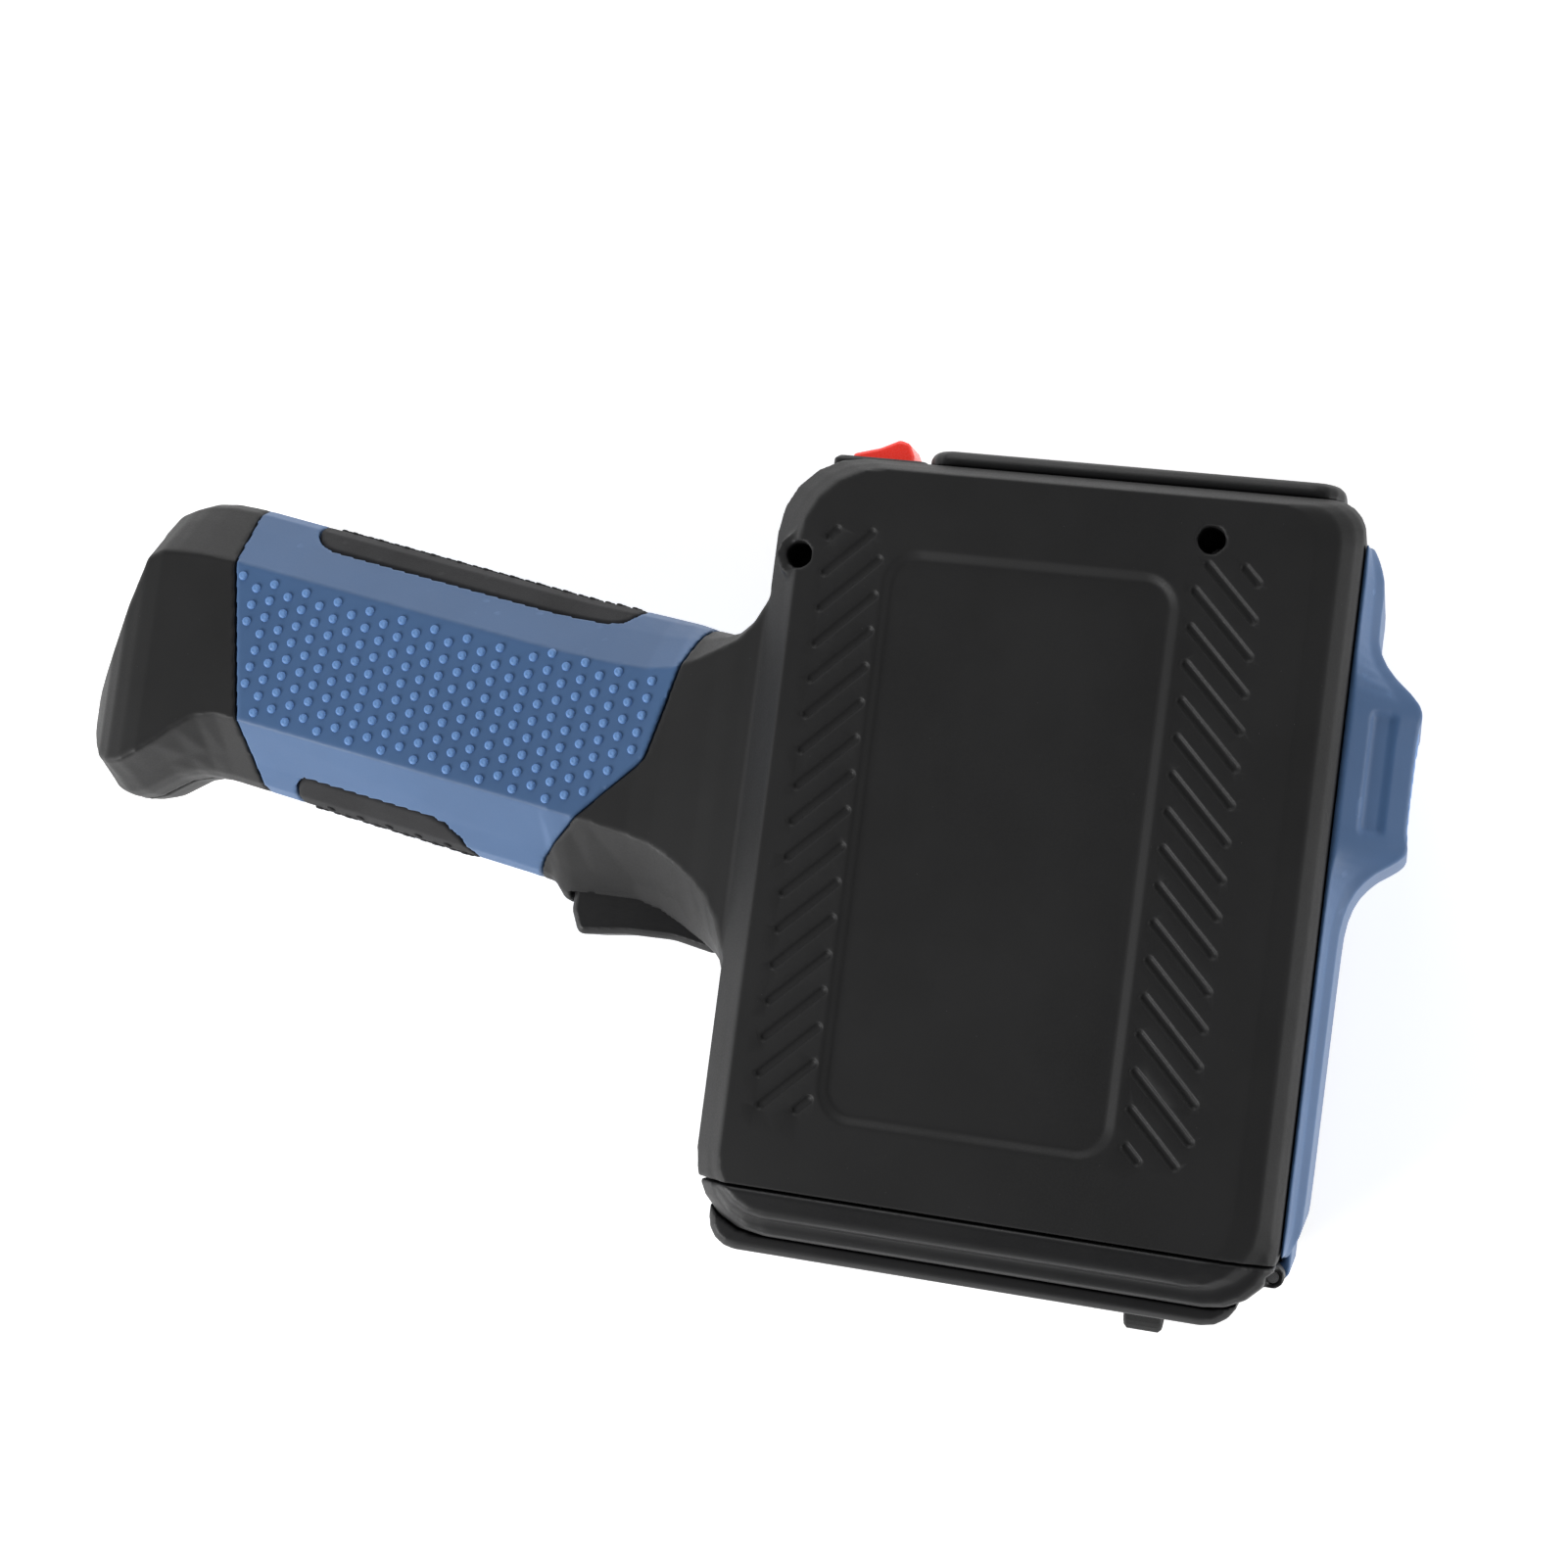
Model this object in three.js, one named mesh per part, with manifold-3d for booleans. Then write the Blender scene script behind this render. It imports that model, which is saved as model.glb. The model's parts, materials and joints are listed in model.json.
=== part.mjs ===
// Hand-held ink-jet label and date-code printer: a pistol grip with a print head at its end.
// Millimetres. +X runs from the butt of the grip to the cartridge cover, +Y is the screen side,
// -Y is the printing face, and +Z comes out of the right-hand side of the case.
// The part is laid out around the head and then moved so that its left side rests on Z = 0.
import * as THREE from 'three';
import { mergeVertices } from 'three/addons/utils/BufferGeometryUtils.js';
import loadManifold from 'manifold-3d';

const manifoldLibrary = await loadManifold();
manifoldLibrary.setup();
const { Manifold, Mesh: ManifoldMesh } = manifoldLibrary;

// ---------------------------------------------------------------- driving sizes
const GAP = 0.3;                 // between fitted faces
const SEAT_GAP = 0.15;           // under a screw head and each side of the case split
const RUNNING = 0.08;            // radial clearance of a turning shaft
const FAR = 300;                 // reach of a cutting tool past the part

const HEAD_LEFT = -8.4;          // head: grip-side face
const HEAD_LENGTH = 100.1;       // along X
const HEAD_TOP = 58.2;           // screen-side face
const CASE_HEIGHT = 126.8;       // screen-side face to the front cap joint
const CASE_THICKNESS = 62;       // over both side faces
const CASE_WALL = 2.6;
const CAP_HEIGHT = 8.4;          // front cap, joint to face
const GUIDE_HEIGHT = 3.3;        // guide frame, proud of the cap
const GUIDE_INSET = { left: 3.4, right: 5.4, side: 5.7 };

const GRIP_LENGTH = 132.6;       // head to the end of the butt
const GRIP_AXIS_Y = -0.8;        // centre line where it meets the head
const GRIP_RAKE = 0.16;          // rise of the centre line towards the butt, per mm
const GRIP_HALF_THICKNESS = 20.5;
const SLEEVE_THICKNESS = 2.6;
const GRIP_WALL = 2.2;
const INSERT_HALF = 12.7;        // rubber inserts, half width across the grip

const HALF = CASE_THICKNESS / 2;
const HEAD_RIGHT = HEAD_LEFT + HEAD_LENGTH;
const CASE_FRONT = HEAD_TOP - CASE_HEIGHT;
const CAP_FRONT = CASE_FRONT - CAP_HEIGHT;
const GUIDE_FRONT = CAP_FRONT - GUIDE_HEIGHT;
const BUTT_END = HEAD_LEFT - GRIP_LENGTH;

// ---------------------------------------------------------------- parts, placed from the case's faces
const LABEL = {
  left: HEAD_LEFT + 20.7,
  right: HEAD_RIGHT - 28.5,
  bottom: CASE_FRONT + 12.4,
  top: HEAD_TOP - 15.6,
  corner: 6.5,
  slope: 2.1,
  depth: 0.8,
};
const GROOVE = { width: 1.9, pitch: 6.17, depth: 0.5, top: HEAD_TOP - 12.8, bottom: CASE_FRONT + 13 };
const GROOVE_BANDS = [
  { left: HEAD_LEFT + 9.6, right: LABEL.left - 0.1, slant: 1 },
  { left: LABEL.right + 1, right: HEAD_RIGHT - 15.5, slant: -1 },
];

const SCREW = { head: 2.1, headHeight: 2, shank: 1.15, length: 22, well: 2.35, boss: 4.2 };
const CASE_SCREWS = [
  { x: HEAD_RIGHT - 24.8, y: HEAD_TOP - 9.5, seat: 9 },
  { x: HEAD_LEFT + 5.6, y: HEAD_TOP - 18.5, seat: 9 },
  { x: HEAD_LEFT - 29.6, y: GRIP_AXIS_Y + 2.8, seat: 7 },
];
const CAP_SCREW = { head: 2.8, headHeight: 1.8, shank: 1.45, length: 16, boss: 3.6, recess: 2.3 };
const CAP_SCREW_TIP = GUIDE_FRONT + CAP_SCREW.recess + CAP_SCREW.length;
const CAP_SCREW_X = [HEAD_LEFT + 12.2, HEAD_RIGHT - 12.7];
const CAP_SCREW_Z = [HALF - 11.5, 11.5 - HALF];

const TRIGGER = { left: HEAD_LEFT - 34, pivotX: HEAD_LEFT - 7.1, pivotY: -25.8, half: 8, roof: -17.2 };
const TRIGGER_PIN = { radius: 1.5, half: 12 };
const MICROSWITCH = { x: TRIGGER.left + 12.4, length: 12, height: 6.3, half: 3.2 };
const STRIKER_PLAY = 2.6;        // trigger striker to the switch roof, at rest

const CELL = { radius: 9.2, length: 65, x: BUTT_END + 61, spacing: 19 };
const BAY = { ahead: 35, behind: 37 };           // battery bay, from the middle of the cells
const PORT = { y: 17, height: 3.4, half: 4.6, length: 11 };
const PORT_BOARD = { half: 9, thickness: 1.4, length: 18 };
const WIRE_WAY = { bottom: 13, top: 22, half: 10 };

const SCREEN = {
  left: HEAD_LEFT + 24.4,
  right: HEAD_RIGHT - 4.1,
  half: HALF - 6.5,
  height: 3,
  rim: 3.6,
  corner: 5,
  skirt: 3.8,
};
const GLASS_THICKNESS = 0.8;
const BOARD = {
  left: HEAD_LEFT + 11.4,
  right: HEAD_RIGHT - 5.7,
  y: HEAD_TOP - 16.8,
  thickness: 1.6,
  half: HALF - 7,
  ribHeight: 1.3,
  ribInset: 4.5,
};
const BUZZER = { x: HEAD_LEFT + 22.4, z: -12, radius: 6, height: 7 };

const ROCKER = {
  x: HEAD_LEFT + 14.8,
  z: HALF - 21.5,
  bezelLength: 17.3,
  bezelHalf: 7.5,
  bezelHeight: 1.8,
  bodyHalfLength: 6.7,
  bodyHalf: 5.9,
  half: 4.9,
  depth: 11,
};

const CARTRIDGE = { left: HEAD_RIGHT - 71.7, length: 64, bottom: CASE_FRONT + 10.6, height: 72, half: 12 };
const SNOUT = { left: CARTRIDGE.left + 8, right: CARTRIDGE.left + 36, half: 8, end: CAP_FRONT - 1.3 };
const CONTACTS = { low: 20, high: 44, half: 8, length: 8 };   // heights from the cartridge's base
const HOLDER_WALL = 2.3;
const HOLDER_SHORT = 5;          // holder's mouth, behind the cartridge's end
const WINDOW_MARGIN = { x: 4, z: 1.5 };

const WHEEL = { x: HEAD_RIGHT - 21.4, z: HALF - 16, width: 6.2, radius: 6.8, protrusion: 3.5, shaft: 1.5 };
const WHEEL_ROOM = { side: 0.8, round: 0.6 };
const IDLER = { left: HEAD_LEFT + 19.9, right: HEAD_RIGHT - 19.7, z: 14 - HALF, radius: 5.2, axle: 1.2 };
const AXLE_GRIP = 3;             // axle ends, held past the roller's room
const ENCODER = { radius: 2.6, length: 8.3, setback: 3.5 };

const COVER_THICKNESS = 2.9;
const COVER_TOP = HEAD_TOP - 6.7;
const COVER_BOTTOM = CASE_FRONT + 1;
const COVER_HALF = HALF - 5;
const COVER_INNER = HEAD_RIGHT + SEAT_GAP;
const HUMP_HEIGHT = 9.5;         // finger hump, proud of the cover
const COVER_STEPS = 44;          // straight runs along the cover's outer curve
const DISH = { x: 6.3, half: 2.9, from: 70.6, to: 92, depth: 0.9, slope: 27.3 };
const HINGE = { x: HEAD_RIGHT - 0.9, y: CASE_FRONT - 2.5, pin: 1, knuckle: 1.9, half: 13.2, lug: 5.8 };
const LATCH = { y: COVER_TOP - 8.8, half: 4.5, reach: 5 };

const ROLLING_FACE = GUIDE_FRONT - WHEEL.protrusion;
const WHEEL_Y = ROLLING_FACE + WHEEL.radius;
const IDLER_Y = ROLLING_FACE + IDLER.radius;
const WHEEL_SLOT_HALF = WHEEL.width / 2 + WHEEL_ROOM.side;

// Case edge, row by row: depth below the side face, then how far each outline edge stands in.
const EDGE_STEPS = [
  { drop: 0, left: 5.4, top: 2.5, right: 7.7, front: 4.3, cornerFront: 9 },
  { drop: 0.8, left: 4.7, top: 2.1, right: 3.9, front: 3.5, cornerFront: 9.6 },
  { drop: 2.4, left: 3.3, top: 1.4, right: 1.6, front: 3, cornerFront: 10.4 },
  { drop: 2.8, left: 2.9, top: 1.2, right: 1.3, front: 0.8, cornerFront: 12 },
  { drop: 4, left: 1.8, top: 0.8, right: 0.3, front: 0.1, cornerFront: 12.8 },
  { drop: 6, left: 0, top: 0, right: 0, front: 0, cornerFront: 13 },
];
const TOP_CORNER = 14;
const SIDE_CORNER = 6;
const FRONT_CORNER = 11;

// Grip stations. y values are heights of the section's ridge, flat and foot.
// Butt rows: x from the butt end, y from the grip's centre line.
const BUTT_STATIONS = [
  { x: 0, top: -15.4, flatTop: -18.6, flatFoot: -23.8, foot: -26.4, flatHalf: 10.2 },
  { x: 1.2, top: -10, flatTop: -16.6, flatFoot: -25.6, foot: -30, flatHalf: 12.2 },
  { x: 2.8, top: -3, flatTop: -13.6, flatFoot: -27.3, foot: -32.8, flatHalf: 14.4 },
  { x: 5, top: 7, flatTop: -9, flatFoot: -28.9, foot: -34.8, flatHalf: 17 },
  { x: 7.8, top: 17, flatTop: 0, flatFoot: -29.4, foot: -35, flatHalf: 19 },
  { x: 11, top: 20.8, flatTop: 9.8, flatFoot: -28.4, foot: -33.6, flatHalf: 20.1 },
  { x: 14, top: 22.7, flatTop: 12, flatFoot: -26.2, foot: -31.2, flatHalf: 20.5 },
  { x: 17, top: 24.2, flatTop: 12.7, flatFoot: -23.6, foot: -28.9, flatHalf: 20.5 },
  { x: 21, top: 25.1, flatTop: 13.3, flatFoot: -19.6, foot: -27.2, flatHalf: 20.5 },
  { x: 25, top: 25.4, flatTop: 13.6, flatFoot: -16.2, foot: -26.6, flatHalf: 20.5 },
  { x: 29, top: 25.5, flatTop: 13.8, flatFoot: -14.8, foot: -26.5, flatHalf: 20.5 },
];
// Neck rows: x from the head's grip-side face, y in the part's own frame.
const NECK_STATIONS = [
  { x: -43.6, top: 31.8, flatTop: 20.3, flatFoot: -8, foot: -20.6, flatHalf: 20.5, topHalf: 12.7, footHalf: 12.2 },
  { x: -38.4, top: 31, flatTop: 19.6, flatFoot: -8.8, foot: -21.6, flatHalf: 20.6, topHalf: 12.9, footHalf: 12 },
  { x: -36.2, top: 30.7, flatTop: 19.3, flatFoot: -9.2, foot: -24.4, flatHalf: 20.7, topHalf: 13, footHalf: 11.7 },
  { x: -34.2, top: 30.5, flatTop: 19.1, flatFoot: -9.5, foot: -25.2, flatHalf: 20.7, topHalf: 13.1, footHalf: 11.5 },
  { x: -29.6, top: 30, flatTop: 18.5, flatFoot: -10.3, foot: -25, flatHalf: 20.9, topHalf: 13.4, footHalf: 11.4 },
  { x: -21.6, top: 29, flatTop: 18, flatFoot: -11.9, foot: -24.9, flatHalf: 21.4, topHalf: 14.2, footHalf: 11.4 },
  { x: -16.6, top: 28.3, flatTop: 18.6, flatFoot: -13.2, foot: -26, flatHalf: 22, topHalf: 15.5, footHalf: 11.8 },
  { x: -12.6, top: 27.4, flatTop: 20.2, flatFoot: -15.2, foot: -27.6, flatHalf: 22.6, topHalf: 17, footHalf: 12.6 },
  { x: -8.4, top: 26.8, flatTop: 22.6, flatFoot: -18, foot: -29.6, flatHalf: 23.2, topHalf: 19.5, footHalf: 14 },
  { x: -5.2, top: 27, flatTop: 24.4, flatFoot: -20.8, foot: -31.4, flatHalf: 23.8, topHalf: 21.5, footHalf: 16 },
  { x: -2.6, top: 28.8, flatTop: 27.2, flatFoot: -24.6, foot: -33.8, flatHalf: 24.2, topHalf: 23, footHalf: 18.5 },
  { x: -0.4, top: 32.4, flatTop: 31.4, flatFoot: -29.6, foot: -37.4, flatHalf: 24.6, topHalf: 24.2, footHalf: 21.5 },
  { x: 1.4, top: 38, flatTop: 37, flatFoot: -34, foot: -42, flatHalf: 24.8, topHalf: 24.4, footHalf: 23 },
  { x: 5, top: 44, flatTop: 43, flatFoot: -38, foot: -46, flatHalf: 24.9, topHalf: 24.6, footHalf: 24 },
];

// ---------------------------------------------------------------- shape helpers
// A direction tool turns (u, v, w) into (x, y, z), with w along the named axis.
const ALONG_X = (u, v, w) => new THREE.Vector3(w, u, v);
const ALONG_Y = (u, v, w) => new THREE.Vector3(v, w, u);
const ALONG_Z = (u, v, w) => new THREE.Vector3(u, v, w);

function solid(geometry) {
  const bare = new THREE.BufferGeometry();
  bare.setAttribute('position', geometry.getAttribute('position'));
  if (geometry.index) bare.setIndex(geometry.index);
  const welded = mergeVertices(bare, 1e-4);
  return new Manifold(new ManifoldMesh({
    numProp: 3,
    vertProperties: Float32Array.from(welded.attributes.position.array),
    triVerts: Uint32Array.from(welded.index.array),
  }));
}

function join(...solids) {
  return Manifold.union(solids);
}

function cut(body, ...tools) {
  return body.subtract(Manifold.union(tools));
}

// Closed outline with rounded corners. Each corner is [u, v, radius], anticlockwise.
function outline(corners, arcSteps = 4) {
  const points = [];
  corners.forEach(([u, v, radius = 0], index) => {
    const corner = new THREE.Vector2(u, v);
    if (radius === 0) {
      points.push(corner);
      return;
    }
    const before = corners[(index + corners.length - 1) % corners.length];
    const after = corners[(index + 1) % corners.length];
    const back = new THREE.Vector2(before[0] - u, before[1] - v).normalize();
    const ahead = new THREE.Vector2(after[0] - u, after[1] - v).normalize();
    const half = Math.acos(THREE.MathUtils.clamp(back.dot(ahead), -1, 1)) / 2;
    const bisector = back.clone().add(ahead).normalize();
    const centre = corner.clone().addScaledVector(bisector, radius / Math.sin(half));
    const start = corner.clone().addScaledVector(back, radius / Math.tan(half)).sub(centre);
    const sweep = (Math.PI - 2 * half) * Math.sign(back.y * ahead.x - back.x * ahead.y);
    for (let step = 0; step <= arcSteps; step += 1) {
      points.push(start.clone().rotateAround(new THREE.Vector2(), sweep * step / arcSteps).add(centre));
    }
  });
  return points;
}

function roundedRectangle(u0, u1, v0, v1, radius, arcSteps = 4) {
  return outline([[u0, v0, radius], [u1, v0, radius], [u1, v1, radius], [u0, v1, radius]], arcSteps);
}

// Closed skin through rings of equal point count. Each ring is { w, points }, in rising w.
function loft(rings, along = ALONG_Z) {
  const count = rings[0].points.length;
  const positions = [];
  const index = [];
  rings.forEach(({ w, points }) => {
    points.forEach((point) => positions.push(...along(point.x, point.y, w).toArray()));
  });
  for (let ring = 0; ring + 1 < rings.length; ring += 1) {
    for (let side = 0; side < count; side += 1) {
      const next = (side + 1) % count;
      const a = ring * count + side;
      const b = ring * count + next;
      index.push(a, b, b + count, a, b + count, a + count);
    }
  }
  const lastRing = (rings.length - 1) * count;
  THREE.ShapeUtils.triangulateShape(rings[0].points, []).forEach(([a, b, c]) => index.push(a, c, b));
  THREE.ShapeUtils.triangulateShape(rings.at(-1).points, []).forEach(([a, b, c]) => {
    index.push(lastRing + a, lastRing + b, lastRing + c);
  });
  const geometry = new THREE.BufferGeometry();
  geometry.setAttribute('position', new THREE.Float32BufferAttribute(positions, 3));
  geometry.setIndex(index);
  return solid(geometry);
}

function prism(points, w0, w1, along = ALONG_Z) {
  return loft([{ w: w0, points }, { w: w1, points }], along);
}

// Prism whose two ends are chamfered.
function softPrism(corners, w0, w1, chamfer, along = ALONG_Z) {
  const full = outline(corners);
  const small = shrink(full, chamfer);
  return loft([
    { w: w0, points: small },
    { w: w0 + chamfer, points: full },
    { w: w1 - chamfer, points: full },
    { w: w1, points: small },
  ], along);
}

// Moves every edge of an anticlockwise outline inwards.
function shrink(points, distance) {
  return points.map((point, index) => {
    const before = points[(index + points.length - 1) % points.length];
    const after = points[(index + 1) % points.length];
    const n1 = inwardNormal(before, point);
    const n2 = inwardNormal(point, after);
    return point.clone().addScaledVector(n1.clone().add(n2), distance / (1 + n1.dot(n2)));
  });
}

function inwardNormal(from, to) {
  return new THREE.Vector2(from.y - to.y, to.x - from.x).normalize();
}

function box(x0, x1, y0, y1, z0, z1) {
  const geometry = new THREE.BoxGeometry(x1 - x0, y1 - y0, z1 - z0);
  geometry.translate((x0 + x1) / 2, (y0 + y1) / 2, (z0 + z1) / 2);
  return solid(geometry);
}

// Round bar. (u, v) is its centre across the named direction.
function rod(radius, u, v, w0, w1, along = ALONG_Z, sides = 16) {
  const points = [];
  for (let side = 0; side < sides; side += 1) {
    const angle = 2 * Math.PI * side / sides;
    points.push(new THREE.Vector2(u + radius * Math.cos(angle), v + radius * Math.sin(angle)));
  }
  return prism(points, w0, w1, along);
}

function above(body, z) {
  return body.trimByPlane([0, 0, 1], z);
}

function below(body, z) {
  return body.trimByPlane([0, 0, -1], -z);
}

// ---------------------------------------------------------------- head block
function headSolid(inset, frontInset = inset) {
  const round = (radius) => Math.max(radius - inset, 0.5);
  const rows = EDGE_STEPS.map((step) => ({
    z: HALF - inset - step.drop,
    points: outline([
      [HEAD_LEFT + inset + step.left, CAP_FRONT + frontInset + step.front, round(step.cornerFront)],
      [HEAD_RIGHT - inset - step.right, CAP_FRONT + frontInset + step.front, round(FRONT_CORNER)],
      [HEAD_RIGHT - inset - step.right, HEAD_TOP - inset - step.top, round(SIDE_CORNER)],
      [HEAD_LEFT + inset + step.left, HEAD_TOP - inset - step.top, round(TOP_CORNER)],
    ], 5),
  }));
  const lower = rows.map(({ z, points }) => ({ w: -z, points }));
  const upper = rows.map(({ z, points }) => ({ w: z, points })).reverse();
  return loft([...lower, ...upper]);
}

// ---------------------------------------------------------------- grip body
function gripAxis(x) {
  return GRIP_AXIS_Y - GRIP_RAKE * (x - HEAD_LEFT);
}

function gripStations() {
  const grow = GRIP_HALF_THICKNESS - 20.5;
  const butt = BUTT_STATIONS.map((row) => {
    const x = BUTT_END + row.x;
    const axis = gripAxis(x);
    return {
      x,
      top: axis + row.top,
      flatTop: axis + row.flatTop,
      flatFoot: axis + row.flatFoot,
      foot: axis + row.foot,
      flatHalf: row.flatHalf + grow,
      topHalf: Math.min(12.7, row.flatHalf * 0.62) + grow,
      footHalf: Math.min(12.2, row.flatHalf * 0.6) + grow,
    };
  });
  const neck = NECK_STATIONS.map((row) => ({
    ...row,
    x: HEAD_LEFT + row.x,
    flatHalf: row.flatHalf + grow,
    topHalf: row.topHalf + grow,
    footHalf: row.footHalf + grow,
  }));
  return [...butt, ...neck];
}

const RIDGE = 0.2;               // crown of the section's ridge and foot

// Section of the grip: ridge, two facets, side flat, and the same below. u is y, v is z.
function gripSection(row) {
  const shoulder = row.top - (row.top - row.flatTop) * 0.38;
  const hip = row.foot + (row.flatFoot - row.foot) * 0.39;
  const side = [
    [row.foot - RIDGE, 0],
    [row.foot, -row.footHalf * 0.45],
    [row.foot + (hip - row.foot) * 0.25, -row.footHalf * 0.7],
    [hip, -row.footHalf],
    [row.flatFoot, -row.flatHalf],
    [row.flatTop, -row.flatHalf],
    [shoulder, -row.topHalf],
    [row.top - (row.top - shoulder) * 0.25, -row.topHalf * 0.7],
    [row.top, -row.topHalf * 0.45],
  ];
  const mirrored = side.slice(1).map(([u, v]) => [u, -v]).reverse();
  const ring = [...side, [row.top + RIDGE, 0], ...mirrored];
  return ring.map(([u, v]) => new THREE.Vector2(u, v));
}

// The whole grip, or with an inset only the stretch that the sleeve covers.
function gripSolid(inset = 0) {
  const rows = inset > 0 ? gripStations().slice(6, -5) : gripStations();
  const rings = rows.map((row) => ({
    w: row.x,
    points: shrink(gripSection(row), inset),
  }));
  return loft(rings, ALONG_X);
}

// Area of the side view that the grip sleeve covers.
function sleeveZone(gap) {
  const rakeAt = (y) => BUTT_END + 33.3 - 0.154 * y + gap;
  return prism(outline([
    [rakeAt(-45), -45],
    [HEAD_LEFT - 43.6 - gap, -45],
    [HEAD_LEFT - 43.6 - gap, -26],
    [HEAD_LEFT - 39.1 - gap, -17.4, 2],
    [HEAD_LEFT - 19.8 - gap, 1.8, 4],
    [HEAD_LEFT - 16.2 - gap, 15.5, 4],
    [HEAD_LEFT - 12.4 - gap, 30],
    [HEAD_LEFT - 12.4 - gap, 60],
    [rakeAt(60), 60],
  ]), -FAR, FAR);
}

function rearInsertZone(gap) {
  const half = INSERT_HALF - gap;
  const points = roundedRectangle(-half, half, BUTT_END + 39.5 + gap, HEAD_LEFT - 27.6 - gap, 5);
  return prism(points, 0, 60, ALONG_Y).translate([0, 12, 0]);
}

function frontInsertZone(gap) {
  const half = INSERT_HALF - 0.5 - gap;
  const from = BUTT_END + 42.2 + gap;
  const to = HEAD_LEFT - 53.6 - gap;
  return prism(outline([[-half, from, 4], [half, from, 4], [half, to, 9], [-half, to, 9]]), -60, 0, ALONG_Y);
}

// ---------------------------------------------------------------- case shells
function labelRecess(side) {
  const floor = HALF - LABEL.depth;
  const outer = (grow) => roundedRectangle(
    LABEL.left - grow, LABEL.right + grow, LABEL.bottom - grow, LABEL.top + grow, LABEL.corner + grow, 5);
  const recess = loft([
    { w: floor, points: outer(-LABEL.slope) },
    { w: HALF, points: outer(0) },
    { w: HALF + LABEL.depth, points: outer(LABEL.slope) },
  ]);
  return side > 0 ? recess : recess.mirror([0, 0, 1]);
}

// Slanted grooves that fill a band, each clipped to the band's length.
function gripGrooves(side) {
  const tools = [];
  const radius = GROOVE.width / 2;
  GROOVE_BANDS.forEach((band) => {
    const middle = (band.left + band.right) / 2;
    const halfBand = (band.right - band.left) / 2 - radius;
    const count = Math.ceil((GROOVE.top - GROOVE.bottom + 2 * halfBand) / GROOVE.pitch);
    for (let row = 0; row < count; row += 1) {
      const y = GROOVE.bottom - halfBand + 3 + row * GROOVE.pitch;
      const low = Math.max(-halfBand, GROOVE.bottom + radius - y);
      const high = Math.min(halfBand, GROOVE.top - radius - y);
      if (high - low > 0.6) {
        tools.push(groove(middle + band.slant * low, y + low, middle + band.slant * high, y + high, radius));
      }
    }
  });
  const all = Manifold.union(tools);
  return side > 0 ? all : all.mirror([0, 0, 1]);
}

function groove(x0, y0, x1, y1, radius) {
  const angle = Math.atan2(y1 - y0, x1 - x0);
  const points = [];
  [[x0, y0, Math.PI / 2], [x1, y1, -Math.PI / 2]].forEach(([x, y, start]) => {
    for (let step = 0; step <= 4; step += 1) {
      const turn = angle + start + Math.PI * step / 4;
      points.push(new THREE.Vector2(x + radius * Math.cos(turn), y + radius * Math.sin(turn)));
    }
  });
  return prism(points, HALF - GROOVE.depth, HALF + 1);
}

function caseBosses() {
  const solids = CASE_SCREWS.slice(0, 2).map(({ x, y }) => rod(SCREW.boss, x, y, -HALF + 1.5, HALF - 1.5));
  CAP_SCREW_X.forEach((x, index) => {
    const wall = index === 0 ? HEAD_LEFT + 1 : HEAD_RIGHT - 1;
    CAP_SCREW_Z.forEach((z) => {
      solids.push(rod(CAP_SCREW.boss, z, x, CASE_FRONT, CAP_SCREW_TIP + 1.2, ALONG_Y));
      solids.push(box(Math.min(x, wall), Math.max(x, wall), CASE_FRONT, CAP_SCREW_TIP + 1.2, z - 1, z + 1));
    });
  });
  return solids;
}

// Ribs that stand on both side walls: a slot for the main board and pads for the cartridge holder.
function caseRibs() {
  const solids = [];
  const holderHalf = CARTRIDGE.half + GAP + HOLDER_WALL;
  [1, -1].forEach((side) => {
    const span = (from) => (side > 0 ? [from, HALF - 1.5] : [-HALF + 1.5, -from]);
    const boardSpan = span(BOARD.half - 1);
    const holderSpan = span(holderHalf + GAP);
    [BOARD.y + BOARD.thickness + GAP, BOARD.y - GAP - BOARD.ribHeight].forEach((y) => {
      solids.push(box(BOARD.left + BOARD.ribInset, BOARD.right - BOARD.ribInset, y, y + BOARD.ribHeight,
        ...boardSpan));
    });
    [CARTRIDGE.left + 8, CARTRIDGE.left + 52].forEach((x) => {
      solids.push(box(x, x + 2, CARTRIDGE.bottom + 2, CARTRIDGE.bottom + 64, ...holderSpan));
    });
  });
  return solids;
}

function caseCavities() {
  const batteryBay = gripSolid(SLEEVE_THICKNESS + GAP + GRIP_WALL)
    .intersect(box(CELL.x - BAY.behind, CELL.x + BAY.ahead, -FAR, FAR, -FAR, FAR));
  const portFloor = PORT.y - PORT.height / 2;
  return [
    headSolid(CASE_WALL, -FAR / 10).trimByPlane([0, 1, 0], CASE_FRONT - 1),
    batteryBay,
    box(CELL.x + BAY.ahead - 1, HEAD_LEFT + 4, WIRE_WAY.bottom, WIRE_WAY.top, -WIRE_WAY.half, WIRE_WAY.half),
    box(BUTT_END - 5, CELL.x - BAY.behind + 1, portFloor - GAP / 2, portFloor + PORT.height + GAP / 2,
      -PORT.half - GAP / 2, PORT.half + GAP / 2),
    box(BUTT_END + 8.3, CELL.x - BAY.behind + 1, portFloor - PORT_BOARD.thickness - GAP, portFloor,
      -PORT_BOARD.half - GAP, PORT_BOARD.half + GAP),
    box(MICROSWITCH.x - 1, MICROSWITCH.x + 1, TRIGGER.roof, WIRE_WAY.bottom + 1, -1, 1),
  ];
}

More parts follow.
